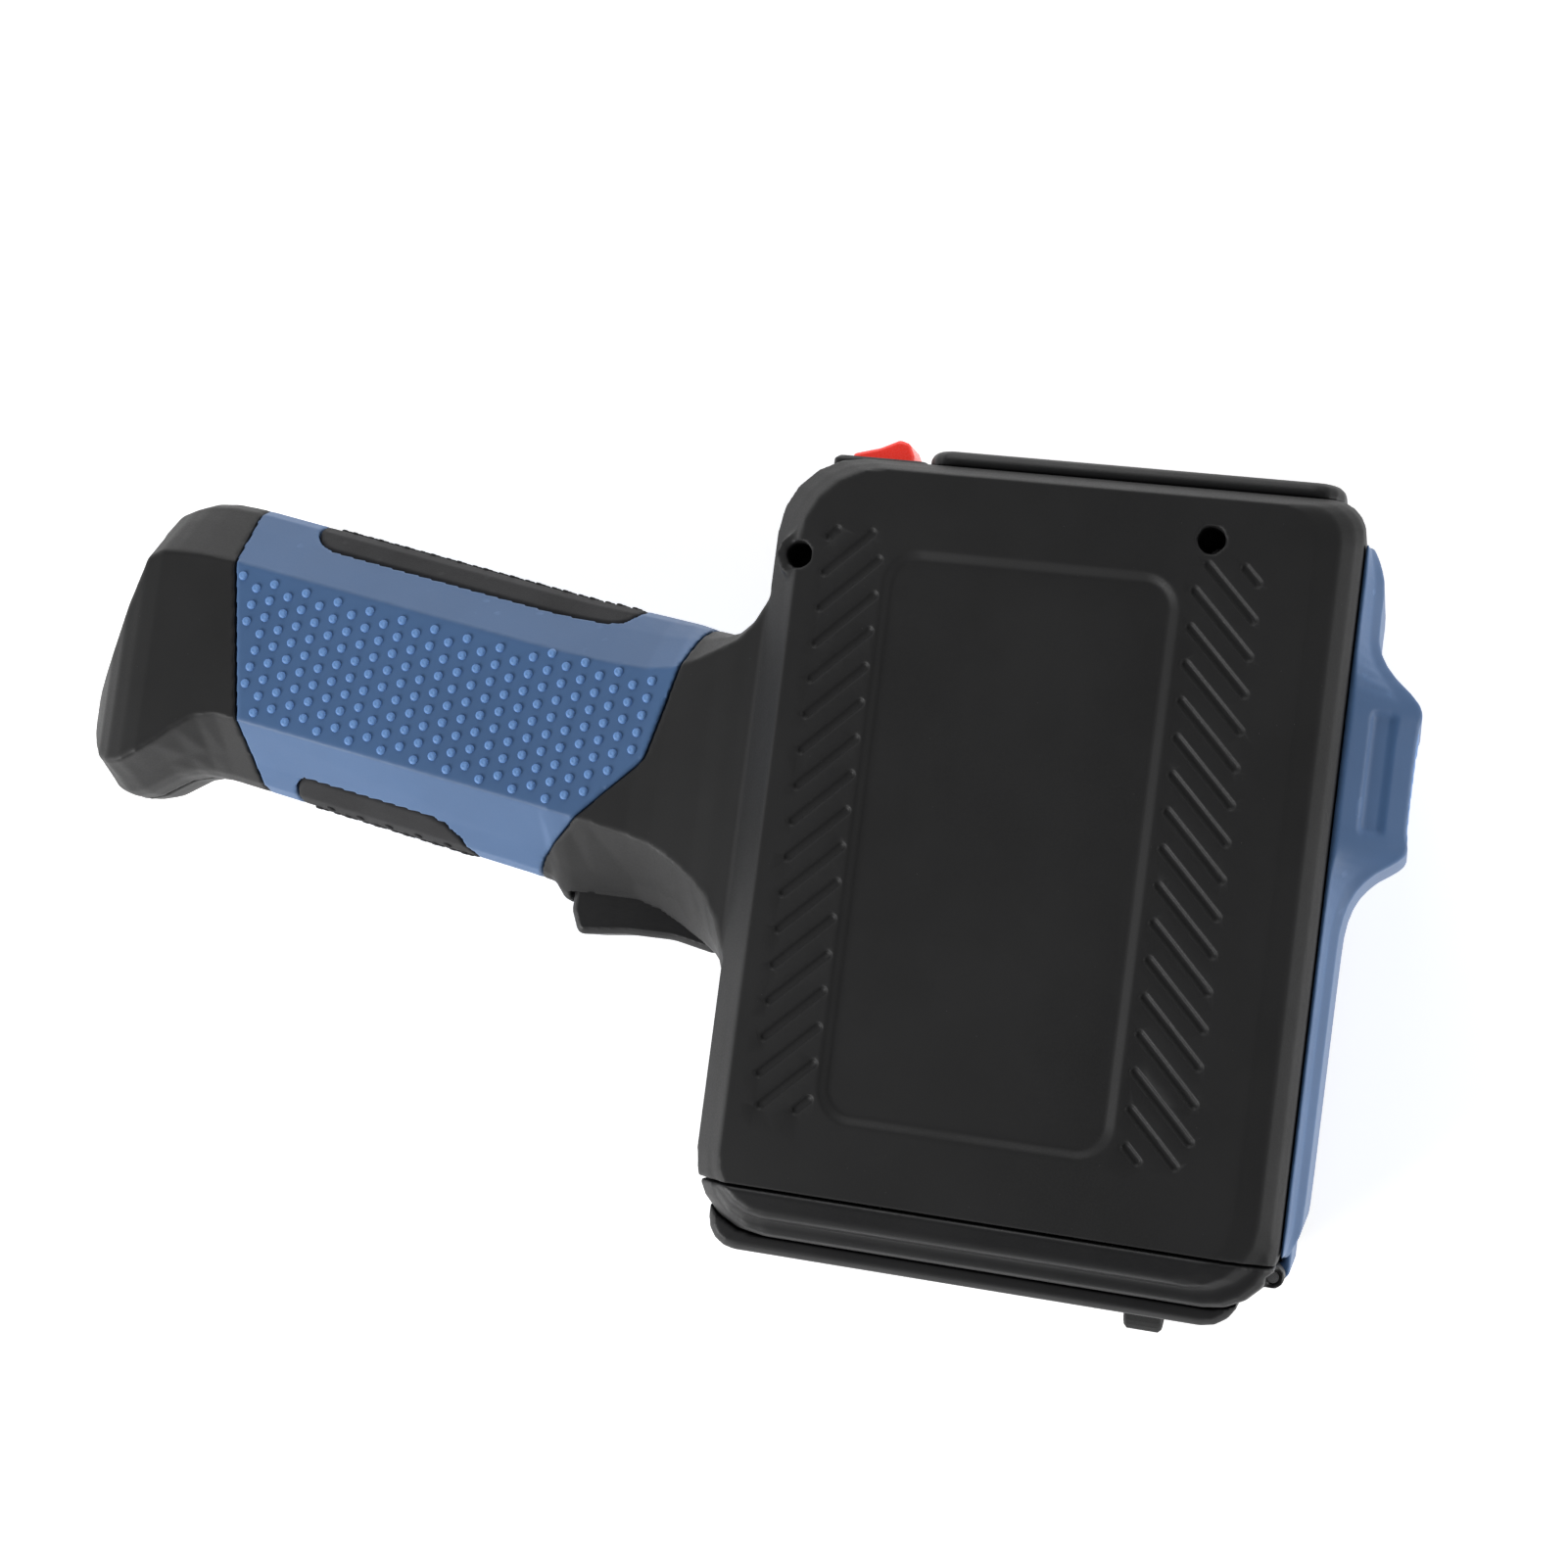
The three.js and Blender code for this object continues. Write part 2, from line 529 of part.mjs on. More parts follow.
function triggerSlot() {
  const roof = TRIGGER.roof;
  const half = TRIGGER.half + 0.4;
  const switchHalf = MICROSWITCH.length / 2 + GAP;
  return [
    box(TRIGGER.left - 0.6, TRIGGER.pivotX + 3.2, -60, roof, -half, half),
    box(MICROSWITCH.x - switchHalf, MICROSWITCH.x + switchHalf, roof - 1, roof + MICROSWITCH.height + 2 * GAP,
      -MICROSWITCH.half - GAP, MICROSWITCH.half + GAP),
    rod(TRIGGER_PIN.radius + RUNNING, TRIGGER.pivotX, TRIGGER.pivotY, -TRIGGER_PIN.half - GAP,
      TRIGGER_PIN.half + GAP),
  ];
}

function screwWells() {
  const tools = [];
  CASE_SCREWS.forEach(({ x, y, seat }) => {
    tools.push(rod(SCREW.well, x, y, seat, HALF + 10, ALONG_Z, 20));
    tools.push(rod(SCREW.shank + SEAT_GAP, x, y, seat - SCREW.length - GAP, seat + 1, ALONG_Z, 12));
  });
  CAP_SCREW_X.forEach((x) => CAP_SCREW_Z.forEach((z) => {
    tools.push(rod(CAP_SCREW.shank + SEAT_GAP, z, x, CASE_FRONT - 1, CAP_SCREW_TIP + GAP, ALONG_Y, 12));
  }));
  return tools;
}

function caseOpenings() {
  const skirtGap = SCREEN.rim - 1.3 - GAP;
  return [
    box(SCREEN.left + skirtGap, SCREEN.right - skirtGap, HEAD_TOP - SCREEN.skirt - GAP, HEAD_TOP + 1,
      -SCREEN.half + skirtGap, SCREEN.half - skirtGap),
    box(ROCKER.x - ROCKER.bodyHalfLength - GAP, ROCKER.x + ROCKER.bodyHalfLength + GAP,
      HEAD_TOP - ROCKER.depth - GAP, HEAD_TOP + 1, ROCKER.z - ROCKER.bodyHalf - GAP,
      ROCKER.z + ROCKER.bodyHalf + GAP),
    box(HEAD_RIGHT - CASE_WALL - 1, HEAD_RIGHT + 1, CARTRIDGE.bottom - 2, CARTRIDGE.bottom + CARTRIDGE.height + 4,
      -CARTRIDGE.half - 3.5, CARTRIDGE.half + 3.5),
    box(HEAD_RIGHT - CASE_WALL - 1, HEAD_RIGHT + 1, LATCH.y - 1.6, LATCH.y + 2.6, -LATCH.half - GAP,
      LATCH.half + GAP),
  ];
}

function wholeCase() {
  const head = headSolid(0).trimByPlane([0, 1, 0], CASE_FRONT);
  const grip = cut(gripSolid(), sleeveZone(0).subtract(gripSolid(SLEEVE_THICKNESS + GAP)));
  const hollow = cut(join(head, grip), ...caseCavities());
  const ribbed = join(hollow, ...caseBosses(), ...caseRibs());
  return cut(
    ribbed,
    ...triggerSlot(),
    ...screwWells(),
    ...caseOpenings(),
    labelRecess(1),
    labelRecess(-1),
    gripGrooves(1),
    gripGrooves(-1),
  );
}

// ---------------------------------------------------------------- printing end
function nozzleWindow() {
  return box(SNOUT.left - WINDOW_MARGIN.x, SNOUT.right + WINDOW_MARGIN.x, -FAR, CAP_FRONT + 12,
    -SNOUT.half - WINDOW_MARGIN.z, SNOUT.half + WINDOW_MARGIN.z);
}

function rollerRooms() {
  const wheelReach = WHEEL.radius + WHEEL_ROOM.round;
  const wheelHalf = WHEEL_SLOT_HALF;
  const idlerReach = IDLER.radius + GAP;
  const module = ENCODER.radius + GAP;
  const encoderRight = WHEEL.x - wheelHalf - ENCODER.setback;
  return [
    box(WHEEL.x - wheelHalf, WHEEL.x + wheelHalf, -FAR, WHEEL_Y + wheelReach, WHEEL.z - wheelReach,
      WHEEL.z + wheelReach),
    rod(WHEEL.shaft + RUNNING, WHEEL_Y, WHEEL.z, encoderRight - 1, WHEEL.x + wheelHalf + 4, ALONG_X),
    box(encoderRight - ENCODER.length - 2 * GAP, encoderRight, WHEEL_Y - module, CASE_FRONT,
      WHEEL.z - module, WHEEL.z + module),
    box(IDLER.left - 0.6, IDLER.right + 0.6, -FAR, IDLER_Y + idlerReach, IDLER.z - idlerReach,
      IDLER.z + idlerReach),
    rod(IDLER.axle + RUNNING, IDLER_Y, IDLER.z, IDLER.left - AXLE_GRIP, IDLER.right + AXLE_GRIP,
      ALONG_X),
  ];
}

function capScrewHoles() {
  const seat = GUIDE_FRONT + CAP_SCREW.recess;
  return CAP_SCREW_X.flatMap((x) => CAP_SCREW_Z.flatMap((z) => [
    rod(CAP_SCREW.shank + SEAT_GAP, z, x, -FAR, CASE_FRONT + 1, ALONG_Y, 12),
    rod(CAP_SCREW.head + GAP, z, x, -FAR, seat, ALONG_Y, 20),
  ]));
}

function frontCap() {
  const room = headSolid(CASE_WALL, CASE_WALL + 0.9);
  const shell = cut(headSolid(0), room).trimByPlane([0, -1, 0], -(CASE_FRONT - GAP));
  const bosses = CAP_SCREW_X.flatMap((x) => CAP_SCREW_Z.map((z) => (
    rod(CAP_SCREW.boss, z, x, CAP_FRONT + 1, CASE_FRONT - GAP, ALONG_Y))));
  const lugs = [1, -1].flatMap((side) => {
    const near = HINGE.half + 0.4;
    const span = side > 0 ? [near, near + HINGE.lug] : [-near - HINGE.lug, -near];
    return [
      rod(HINGE.knuckle, HINGE.x, HINGE.y, ...span),
      box(HINGE.x - 3.5, HINGE.x + 0.6, HINGE.y - HINGE.knuckle, HINGE.y + HINGE.knuckle, ...span),
    ];
  });
  const bearing = box(WHEEL.x - 9, WHEEL.x + 7, CAP_FRONT + 1, WHEEL_Y + 3.2, WHEEL.z - 4, WHEEL.z + 4);
  const body = join(shell, ...bosses, ...lugs, bearing);
  const hingeRoom = box(HINGE.x - 2.6, HINGE.x + 5, HINGE.y - 2.6, CASE_FRONT + 1, -HINGE.half - 0.4,
    HINGE.half + 0.4);
  const pinHole = rod(HINGE.pin + RUNNING, HINGE.x, HINGE.y, -FAR, FAR, ALONG_Z, 12);
  return cut(body, nozzleWindow(), hingeRoom, pinHole, ...rollerRooms(), ...capScrewHoles());
}

function guideFrame() {
  const left = HEAD_LEFT + GUIDE_INSET.left;
  const right = HEAD_RIGHT - GUIDE_INSET.right;
  const half = HALF - GUIDE_INSET.side;
  const corners = [[left, GUIDE_FRONT, 5.2], [right, GUIDE_FRONT, 6.2], [right, CASE_FRONT - 3, 1.5],
    [left, CASE_FRONT - 3, 1.5]];
  const block = softPrism(corners, -half, half, 1.2);
  return cut(block, headSolid(-GAP), nozzleWindow(), ...rollerRooms(), ...capScrewHoles());
}

function measuringWheel() {
  const half = WHEEL.width / 2;
  const profile = [[WHEEL.shaft + RUNNING, -half], [WHEEL.radius - 0.5, -half], [WHEEL.radius, -half + 0.5],
    [WHEEL.radius, half - 0.5], [WHEEL.radius - 0.5, half], [WHEEL.shaft + RUNNING, half],
    [WHEEL.shaft + RUNNING, -half]];
  return turned(profile, WHEEL.x, WHEEL_Y, WHEEL.z, 32);
}

// Body turned about an axis along X. profile holds [radius, distance along X].
function turned(profile, x, y, z, segments) {
  const geometry = new THREE.LatheGeometry(profile.map(([r, w]) => new THREE.Vector2(r, w)), segments);
  geometry.rotateZ(-Math.PI / 2);
  geometry.translate(x, y, z);
  return solid(geometry);
}

function idlerRoller() {
  const half = (IDLER.right - IDLER.left) / 2;
  const bore = IDLER.axle + RUNNING;
  const profile = [[bore, -half], [IDLER.radius - 0.4, -half], [IDLER.radius, -half + 0.4],
    [IDLER.radius, half - 0.4], [IDLER.radius - 0.4, half], [bore, half], [bore, -half]];
  return turned(profile, (IDLER.left + IDLER.right) / 2, IDLER_Y, IDLER.z, 28);
}

function encoderModule() {
  const right = WHEEL.x - WHEEL_SLOT_HALF - ENCODER.setback - GAP;
  const body = rod(ENCODER.radius, WHEEL_Y, WHEEL.z, right - ENCODER.length, right, ALONG_X);
  const legs = box(right - ENCODER.length, right - 2, WHEEL_Y, WHEEL_Y + 4, WHEEL.z - 2, WHEEL.z + 2);
  const bore = rod(WHEEL.shaft + RUNNING, WHEEL_Y, WHEEL.z, right - 5, right + 1, ALONG_X);
  return cut(join(body, legs), bore);
}

// ---------------------------------------------------------------- screws
function crossHeadScrew(size) {
  const { head, headHeight, shank, length } = size;
  const profile = [[0, -length], [0.5, -length + 0.6], [shank, -length + 2], [shank, 0], [head, 0],
    [head, headHeight * 0.55], [head * 0.8, headHeight], [0, headHeight]];
  const geometry = new THREE.LatheGeometry(profile.map(([r, w]) => new THREE.Vector2(r, w)), 16);
  const blade = head * 0.62;
  const slots = [[blade, 0.4], [0.4, blade]].map(([x, z]) => (
    box(-x, x, headHeight * 0.35, headHeight + 1, -z, z)));
  return cut(solid(geometry), ...slots);
}

// ---------------------------------------------------------------- cartridge cover
// One level of the cover: a straight inner edge and a smooth outer curve with the finger hump.
// rise and hump say how much of the plate's and the hump's height the level has.
function coverLevel(rise, hump, drop) {
  const plate = COVER_THICKNESS - 0.4;
  const x = (share, lift) => COVER_INNER + 0.4 + plate * share * rise + lift * HUMP_HEIGHT * hump;
  const bottom = COVER_BOTTOM;
  const outer = new THREE.SplineCurve([
    [x(0.2, 0), bottom + drop],
    [x(0.5, 0), bottom + 1.7 + drop],
    [x(0.82, 0), bottom + 3.8 + drop],
    [x(0.94, 0), bottom + 7 + drop],
    [x(0.97, 0), bottom + 25],
    [x(1, 0), bottom + 48],
    [x(1, 0.03), bottom + 56],
    [x(1, 0.18), bottom + 61 + drop],
    [x(1, 0.47), bottom + 64.6 + drop],
    [x(1, 0.84), bottom + 67.2 + drop],
    [x(1, 1), bottom + 69.4 + drop],
    [x(1, 0.93), bottom + 73],
    [x(1, 0.93), bottom + 88],
    [x(1, 0.98), bottom + 91.6 - drop],
    [x(1, 0.86), bottom + 94.4 - drop],
    [x(1, 0.37), bottom + 98.6 - drop],
    [x(1, 0.12), bottom + 102.6 - drop],
    [x(1, 0.08), COVER_TOP - 12 - drop],
    [x(1, 0.07), COVER_TOP - 6 - drop],
    [x(0.86, 0), COVER_TOP - 2.6 - drop],
    [x(0.55, 0), COVER_TOP - 1 - drop],
    [x(0.3, 0), COVER_TOP - drop],
  ].map(([u, v]) => new THREE.Vector2(u, v)));
  return [
    new THREE.Vector2(COVER_INNER, bottom),
    ...outer.getPoints(COVER_STEPS),
    new THREE.Vector2(COVER_INNER, COVER_TOP),
  ];
}

function coverHollow() {
  const floor = COVER_INNER + 1;
  const crown = COVER_INNER + COVER_THICKNESS + HUMP_HEIGHT - 2.6;
  return prism(outline([
    [COVER_INNER - 1, COVER_BOTTOM + 8],
    [floor, COVER_BOTTOM + 8],
    [floor, COVER_BOTTOM + 56],
    [crown, COVER_BOTTOM + 70],
    [crown, COVER_BOTTOM + 88.5],
    [floor + 0.4, COVER_BOTTOM + 101],
    [floor, COVER_TOP - 7.4],
    [COVER_INNER - 1, COVER_TOP - 7.4],
  ]), 13 - HALF, HALF - 13);
}

// Shallow finger dish, square to the sloping side of the hump.
function fingerDish() {
  const middle = (DISH.to - DISH.from) / 2;
  const ring = (w, grow) => ({
    w,
    points: roundedRectangle(-DISH.half - grow, DISH.half + grow, -middle - grow, middle + grow, 1.6 + grow),
  });
  const tool = loft([ring(-DISH.depth, -1.2), ring(0.2, 0), ring(4, 0.4)]);
  const face = COVER_HALF - 2.8;
  return tool.rotate([0, DISH.slope, 0])
    .translate([COVER_INNER + DISH.x, COVER_BOTTOM + DISH.from + middle, face]);
}

function cartridgeCover() {
  const rise = [[COVER_HALF, 0.06, 0.03, 0.6], [COVER_HALF - 4.6, 0.45, 0.82, 0.5], [COVER_HALF - 6.4, 1, 1, 0]];
  const lower = rise.map(([z, up, hump, drop]) => ({ w: -z, points: coverLevel(up, hump, drop) }));
  const upper = rise.map(([z, up, hump, drop]) => ({ w: z, points: coverLevel(up, hump, drop) })).reverse();
  const shell = cut(loft([...lower, ...upper]), coverHollow());
  const dish = fingerDish();
  const knuckle = rod(HINGE.knuckle, HINGE.x, HINGE.y, -HINGE.half, HINGE.half);
  const arm = box(COVER_INNER, COVER_INNER + 1.4, HINGE.y, COVER_BOTTOM + 2, -HINGE.half, HINGE.half);
  const pinHole = rod(HINGE.pin + RUNNING, HINGE.x, HINGE.y, -FAR, FAR, ALONG_Z, 12);
  return cut(join(shell, knuckle, arm), dish, dish.mirror([0, 0, 1]), pinHole);
}

function coverLatch() {
  const tip = COVER_INNER - LATCH.reach;
  const back = COVER_INNER + 1 - SEAT_GAP;
  return prism(outline([
    [tip, LATCH.y - 0.6],
    [back, LATCH.y - 0.9],
    [back, LATCH.y + 0.9],
    [tip + 2, LATCH.y + 0.9],
    [tip + 1.6, LATCH.y + 1.8],
    [tip, LATCH.y + 0.9],
  ]), -LATCH.half, LATCH.half);
}

// ---------------------------------------------------------------- screen and switch
function screenBezel() {
  const base = HEAD_TOP + SEAT_GAP;
  const top = HEAD_TOP + SCREEN.height;
  const plate = (inset, y) => ({
    w: y,
    points: roundedRectangle(-SCREEN.half + inset, SCREEN.half - inset, SCREEN.left + inset,
      SCREEN.right - inset, SCREEN.corner - inset),
  });
  const pad = loft([plate(0, base), plate(0, top - 1.6), plate(0.4, top - 0.7), plate(1.3, top)], ALONG_Y);
  const skirtEdge = SCREEN.rim - 1.3;
  const lcdEdge = SCREEN.rim;
  const skirt = box(SCREEN.left + skirtEdge, SCREEN.right - skirtEdge, HEAD_TOP - SCREEN.skirt, base + 0.5,
    -SCREEN.half + skirtEdge, SCREEN.half - skirtEdge);
  const glassRoom = box(SCREEN.left + lcdEdge, SCREEN.right - lcdEdge, top - GLASS_THICKNESS - GAP, top + 1,
    -SCREEN.half + lcdEdge, SCREEN.half - lcdEdge);
  const view = box(SCREEN.left + 6, SCREEN.right - 6, HEAD_TOP - 10, top + 1, -SCREEN.half + 6, SCREEN.half - 6);
  const lcdRoom = box(SCREEN.left + lcdEdge, SCREEN.right - lcdEdge, HEAD_TOP - 10, HEAD_TOP,
    -SCREEN.half + lcdEdge, SCREEN.half - lcdEdge);
  return cut(join(pad, skirt), glassRoom, view, lcdRoom);
}

function touchGlass() {
  const edge = SCREEN.rim + GAP;
  const top = HEAD_TOP + SCREEN.height;
  return box(SCREEN.left + edge, SCREEN.right - edge, top - GLASS_THICKNESS, top,
    -SCREEN.half + edge, SCREEN.half - edge).translate([0, -SEAT_GAP, 0]);
}

function lcdModule() {
  const edge = SCREEN.rim + GAP;
  const top = HEAD_TOP - GAP;
  const frame = box(SCREEN.left + edge, SCREEN.right - edge, top - 3.2, top, -SCREEN.half + edge,
    SCREEN.half - edge);
  const tail = box(SCREEN.right - 20, SCREEN.right - 8, top - 4.2, top - 3, -6, 6);
  return join(frame, tail);
}

function mainBoard() {
  const { left, right, y, thickness, half } = BOARD;
  const board = box(left, right, y, y + thickness, -half, half);
  const chips = [
    { x: 27, length: 14, z: 0, half: 7, height: 1.2 },
    { x: 49, length: 9, z: -7.5, half: 4.5, height: 1 },
    { x: 49, length: 8, z: 8, half: 4, height: 1 },
    { x: 65, length: 12, z: -15, half: 3, height: 3.4 },
    { x: 65, length: 12, z: 15, half: 3, height: 3.4 },
  ].map((chip) => box(left + chip.x, left + chip.x + chip.length, y - chip.height, y + 0.2,
    chip.z - chip.half, chip.z + chip.half));
  return join(board, ...chips);
}

function rockerSwitchBody() {
  const base = HEAD_TOP + SEAT_GAP;
  const top = base + ROCKER.bezelHeight;
  const halfLength = ROCKER.bezelLength / 2;
  const frame = loft([
    { w: base - 4, inset: 0 },
    { w: top - 0.7, inset: 0 },
    { w: top, inset: 0.7 },
  ].map(({ w, inset }) => ({
    w,
    points: roundedRectangle(-ROCKER.bezelHalf + inset, ROCKER.bezelHalf - inset,
      ROCKER.x - halfLength + inset, ROCKER.x + halfLength - inset, 1.2),
  })), ALONG_Y);
  const bezel = cut(frame, headSolid(-SEAT_GAP).translate([0, 0, -ROCKER.z]));
  const { bodyHalfLength, bodyHalf } = ROCKER;
  const body = box(ROCKER.x - bodyHalfLength, ROCKER.x + bodyHalfLength, HEAD_TOP - ROCKER.depth, base + 0.5,
    -bodyHalf, bodyHalf);
  const room = box(ROCKER.x - bodyHalfLength + 0.4, ROCKER.x + bodyHalfLength - 0.4, HEAD_TOP - 6, top + 1,
    -ROCKER.half - GAP, ROCKER.half + GAP);
  const blades = [-4.5, 4.5].map((dx) => (
    box(ROCKER.x + dx - 0.4, ROCKER.x + dx + 0.4, HEAD_TOP - ROCKER.depth - 3.6, HEAD_TOP - ROCKER.depth + 0.5,
      -2.2, 2.2)));
  return join(cut(join(bezel, body), room), ...blades).translate([0, 0, ROCKER.z]);
}

function rockerButton() {
  const top = HEAD_TOP + SEAT_GAP + ROCKER.bezelHeight;
  return softPrism([
    [ROCKER.x - 5.2, top - 5],
    [ROCKER.x + 4, top - 5.4],
    [ROCKER.x + 5.3, top - 1.5],
    [ROCKER.x + 5.3, top + 1.2, 0.6],
    [ROCKER.x + 4.2, top + 3.4, 1.1],
    [ROCKER.x + 2.4, top + 3.9, 1.1],
    [ROCKER.x - 1, top + 2.2, 4],
    [ROCKER.x - 5.8, top + 0.8, 0.6],
  ], -ROCKER.half, ROCKER.half, 0.5).translate([0, 0, ROCKER.z]);
}

// ---------------------------------------------------------------- trigger
function trigger() {
  const { left, pivotX, pivotY, half } = TRIGGER;
  const corners = [
    [left, pivotY - 0.6, 2],
    [left + 1.7, pivotY - 4.8, 1.6],
    [left + 11, pivotY - 3.7, 12],
    [left + 20, pivotY - 3.6, 12],
    [pivotX + 1.9, pivotY - 5.3, 1.6],
    [pivotX + 2.6, pivotY + 2.6, 2],
    [left + 18, pivotY + 4.8, 4],
    [left, pivotY + 4.6, 1.5],
  ];
  const body = softPrism(corners, -half, half, 1);
  const springRoom = box(pivotX - 8, pivotX + 5, pivotY - 3.3, pivotY + 10, -2.8, 2.8);
  const pinHole = rod(TRIGGER_PIN.radius + RUNNING, pivotX, pivotY, -FAR, FAR);
  const striker = box(MICROSWITCH.x - 1.2, MICROSWITCH.x + 1.2, pivotY + 2.8, TRIGGER.roof - STRIKER_PLAY, -2, 2);
  return join(cut(body, springRoom, pinHole), striker);
}

function triggerSpring() {
  const radius = TRIGGER_PIN.radius + 1;
  const turns = 3.25;
  const wire = 0.35;
  const rise = 4 * wire;
  const points = [new THREE.Vector3(TRIGGER.pivotX - 7, TRIGGER.pivotY + radius + 0.5, -rise * turns / 2)];
  const steps = 40;
  for (let step = 0; step <= steps; step += 1) {
    const angle = Math.PI / 2 - 2 * Math.PI * turns * step / steps;
    points.push(new THREE.Vector3(
      TRIGGER.pivotX + radius * Math.cos(angle),
      TRIGGER.pivotY + radius * Math.sin(angle),
      rise * turns * (step / steps - 0.5),
    ));
  }
  points.push(new THREE.Vector3(TRIGGER.pivotX - radius, TRIGGER.roof - 0.6, rise * turns / 2));
  const path = new THREE.CatmullRomCurve3(points, false, 'centripetal');
  const section = new THREE.Shape(outline([[-wire, -wire], [wire, -wire], [wire, wire], [-wire, wire]]));
  return solid(new THREE.ExtrudeGeometry(section, { steps: 90, bevelEnabled: false, extrudePath: path }));
}

function microswitch() {
  const half = MICROSWITCH.length / 2;
  const base = TRIGGER.roof + GAP;
  const body = box(MICROSWITCH.x - half, MICROSWITCH.x + half, base, base + MICROSWITCH.height,
    -MICROSWITCH.half, MICROSWITCH.half);
  const plunger = box(MICROSWITCH.x - 1, MICROSWITCH.x + 1, base - 0.8, base + 1, -1.2, 1.2);
  return join(body, plunger);
}

// ---------------------------------------------------------------- ink and power
function inkCartridge() {
  const { left, length, bottom, height, half } = CARTRIDGE;
  const tank = softPrism([
    [left, bottom, 2],
    [left + length, bottom, 4],
    [left + length, bottom + height - 8, 2],
    [left + length - 10, bottom + height, 2],
    [left, bottom + height, 2],
  ], -half, half, 1);
  const snout = box(SNOUT.left, SNOUT.right, SNOUT.end, bottom + 1, -SNOUT.half, SNOUT.half);
  return join(tank, snout);
}

function cartridgeHolder() {
  const { left, length, bottom, height, half } = CARTRIDGE;
  const outer = half + GAP + HOLDER_WALL;
  const body = box(left - GAP - HOLDER_WALL, left + length - HOLDER_SHORT, bottom - GAP - HOLDER_WALL,
    bottom + height + GAP + HOLDER_WALL, -outer, outer);
  const room = box(left - GAP, left + length + 5, bottom - GAP, bottom + height + GAP, -half - GAP, half + GAP);
  const snoutSlot = box(SNOUT.left - GAP, left + length + 5, bottom - 10, bottom, -SNOUT.half - GAP,
    SNOUT.half + GAP);
  const contactHole = box(left - CONTACTS.length - 2, left, bottom + CONTACTS.low - GAP,
    bottom + CONTACTS.high + GAP, -CONTACTS.half - GAP, CONTACTS.half + GAP);
  return cut(body, room, snoutSlot, contactHole);
}

function contactBlock() {
  const { left, bottom } = CARTRIDGE;
  return box(left - CONTACTS.length, left - GAP, bottom + CONTACTS.low, bottom + CONTACTS.high, -CONTACTS.half,
    CONTACTS.half);
}

// Puts a solid made along X at the grip's centre onto its raked centre line.
function rake(body) {
  return body.rotate([0, 0, -THREE.MathUtils.radToDeg(Math.atan(GRIP_RAKE))])
    .translate([CELL.x, gripAxis(CELL.x), 0]);
}

function batteryCell(side) {
  const half = CELL.length / 2;
  const tube = rod(CELL.radius, side * CELL.spacing / 2, 0, -half, half - 1.2, ALONG_X, 28);
  const button = rod(3, side * CELL.spacing / 2, 0, half - 2, half, ALONG_X, 16);
  return rake(join(tube, button));
}

function batteryCradle() {
  const half = CELL.length / 2 - 2;
  const rooms = [1, -1].map((side) => (
    rod(CELL.radius + SEAT_GAP, side * CELL.spacing / 2, 0, -half - 1, half + 1, ALONG_X, 28)));
  const block = cut(box(-half, half, -CELL.radius - 9, CELL.radius + 9, -GRIP_HALF_THICKNESS, -3.5), ...rooms);
  return rake(block).intersect(gripSolid(SLEEVE_THICKNESS + GRIP_WALL + 2 * GAP));
}

function chargePort() {
  const end = BUTT_END + 4.4;
  const shell = box(end, end + PORT.length, PORT.y - PORT.height / 2, PORT.y + PORT.height / 2,
    -PORT.half, PORT.half);
  const mouth = box(end - 1, end + 6, PORT.y - PORT.height / 2 + 0.5, PORT.y + PORT.height / 2 - 0.5,
    -PORT.half + 0.6, PORT.half - 0.6);
  const tongue = box(end + 1.2, end + 6.5, PORT.y - 0.35, PORT.y + 0.35, -3.2, 3.2);
  return join(cut(shell, mouth), tongue);
}

function portBoard() {
  const top = PORT.y - PORT.height / 2 - SEAT_GAP;
  return box(BUTT_END + 8.6, BUTT_END + 8.6 + PORT_BOARD.length, top - PORT_BOARD.thickness, top,
    -PORT_BOARD.half, PORT_BOARD.half);
}

// ---------------------------------------------------------------- grip covers
function gripSleeve() {
  const shell = gripSolid().intersect(sleeveZone(GAP));
  return cut(shell, gripSolid(SLEEVE_THICKNESS), rearInsertZone(0), frontInsertZone(0));
}

function gripInsert(zone) {
  return gripSolid().intersect(zone).subtract(gripSolid(SLEEVE_THICKNESS));
}

// ---------------------------------------------------------------- materials
function finish(color, roughness, metalness = 0) {
  return new THREE.MeshStandardMaterial({ color, roughness, metalness });
}

const FINISH = {
  caseBlack: finish('#262628', 0.55),
  capBlack: finish('#202022', 0.5),
  gripBlue: finish('#44699f', 0.6),
  insertBlack: finish('#2b2b2d', 0.8),
  switchRed: finish('#d8271c', 0.35),
  glass: finish('#0b0d10', 0.08),
  steel: finish('#b9bcc0', 0.3, 1),
  boardGreen: finish('#1f5a38', 0.5),
  white: finish('#d9d9d4', 0.5),
  cellWrap: finish('#3c8a5a', 0.4),
  rubber: finish('#1b1b1b', 0.9),
  gold: finish('#c9a24a', 0.3, 1),
};

// ---------------------------------------------------------------- assembly
const printer = new THREE.Group();

function add(name, body, material) {
  const mesh = body.getMesh();
  const geometry = new THREE.BufferGeometry();
  geometry.setAttribute('position', new THREE.Float32BufferAttribute(Float32Array.from(mesh.vertProperties), 3));
  geometry.setIndex(Array.from(mesh.triVerts));
  geometry.computeVertexNormals();
  const node = new THREE.Mesh(geometry, material);
  node.name = name;
  printer.add(node);
}

const bothShells = wholeCase();
add('right_shell', above(bothShells, SEAT_GAP), FINISH.caseBlack);
add('left_shell', below(bothShells, -SEAT_GAP), FINISH.caseBlack);
add('front_cap', frontCap(), FINISH.capBlack);
add('guide_frame', guideFrame(), FINISH.capBlack);

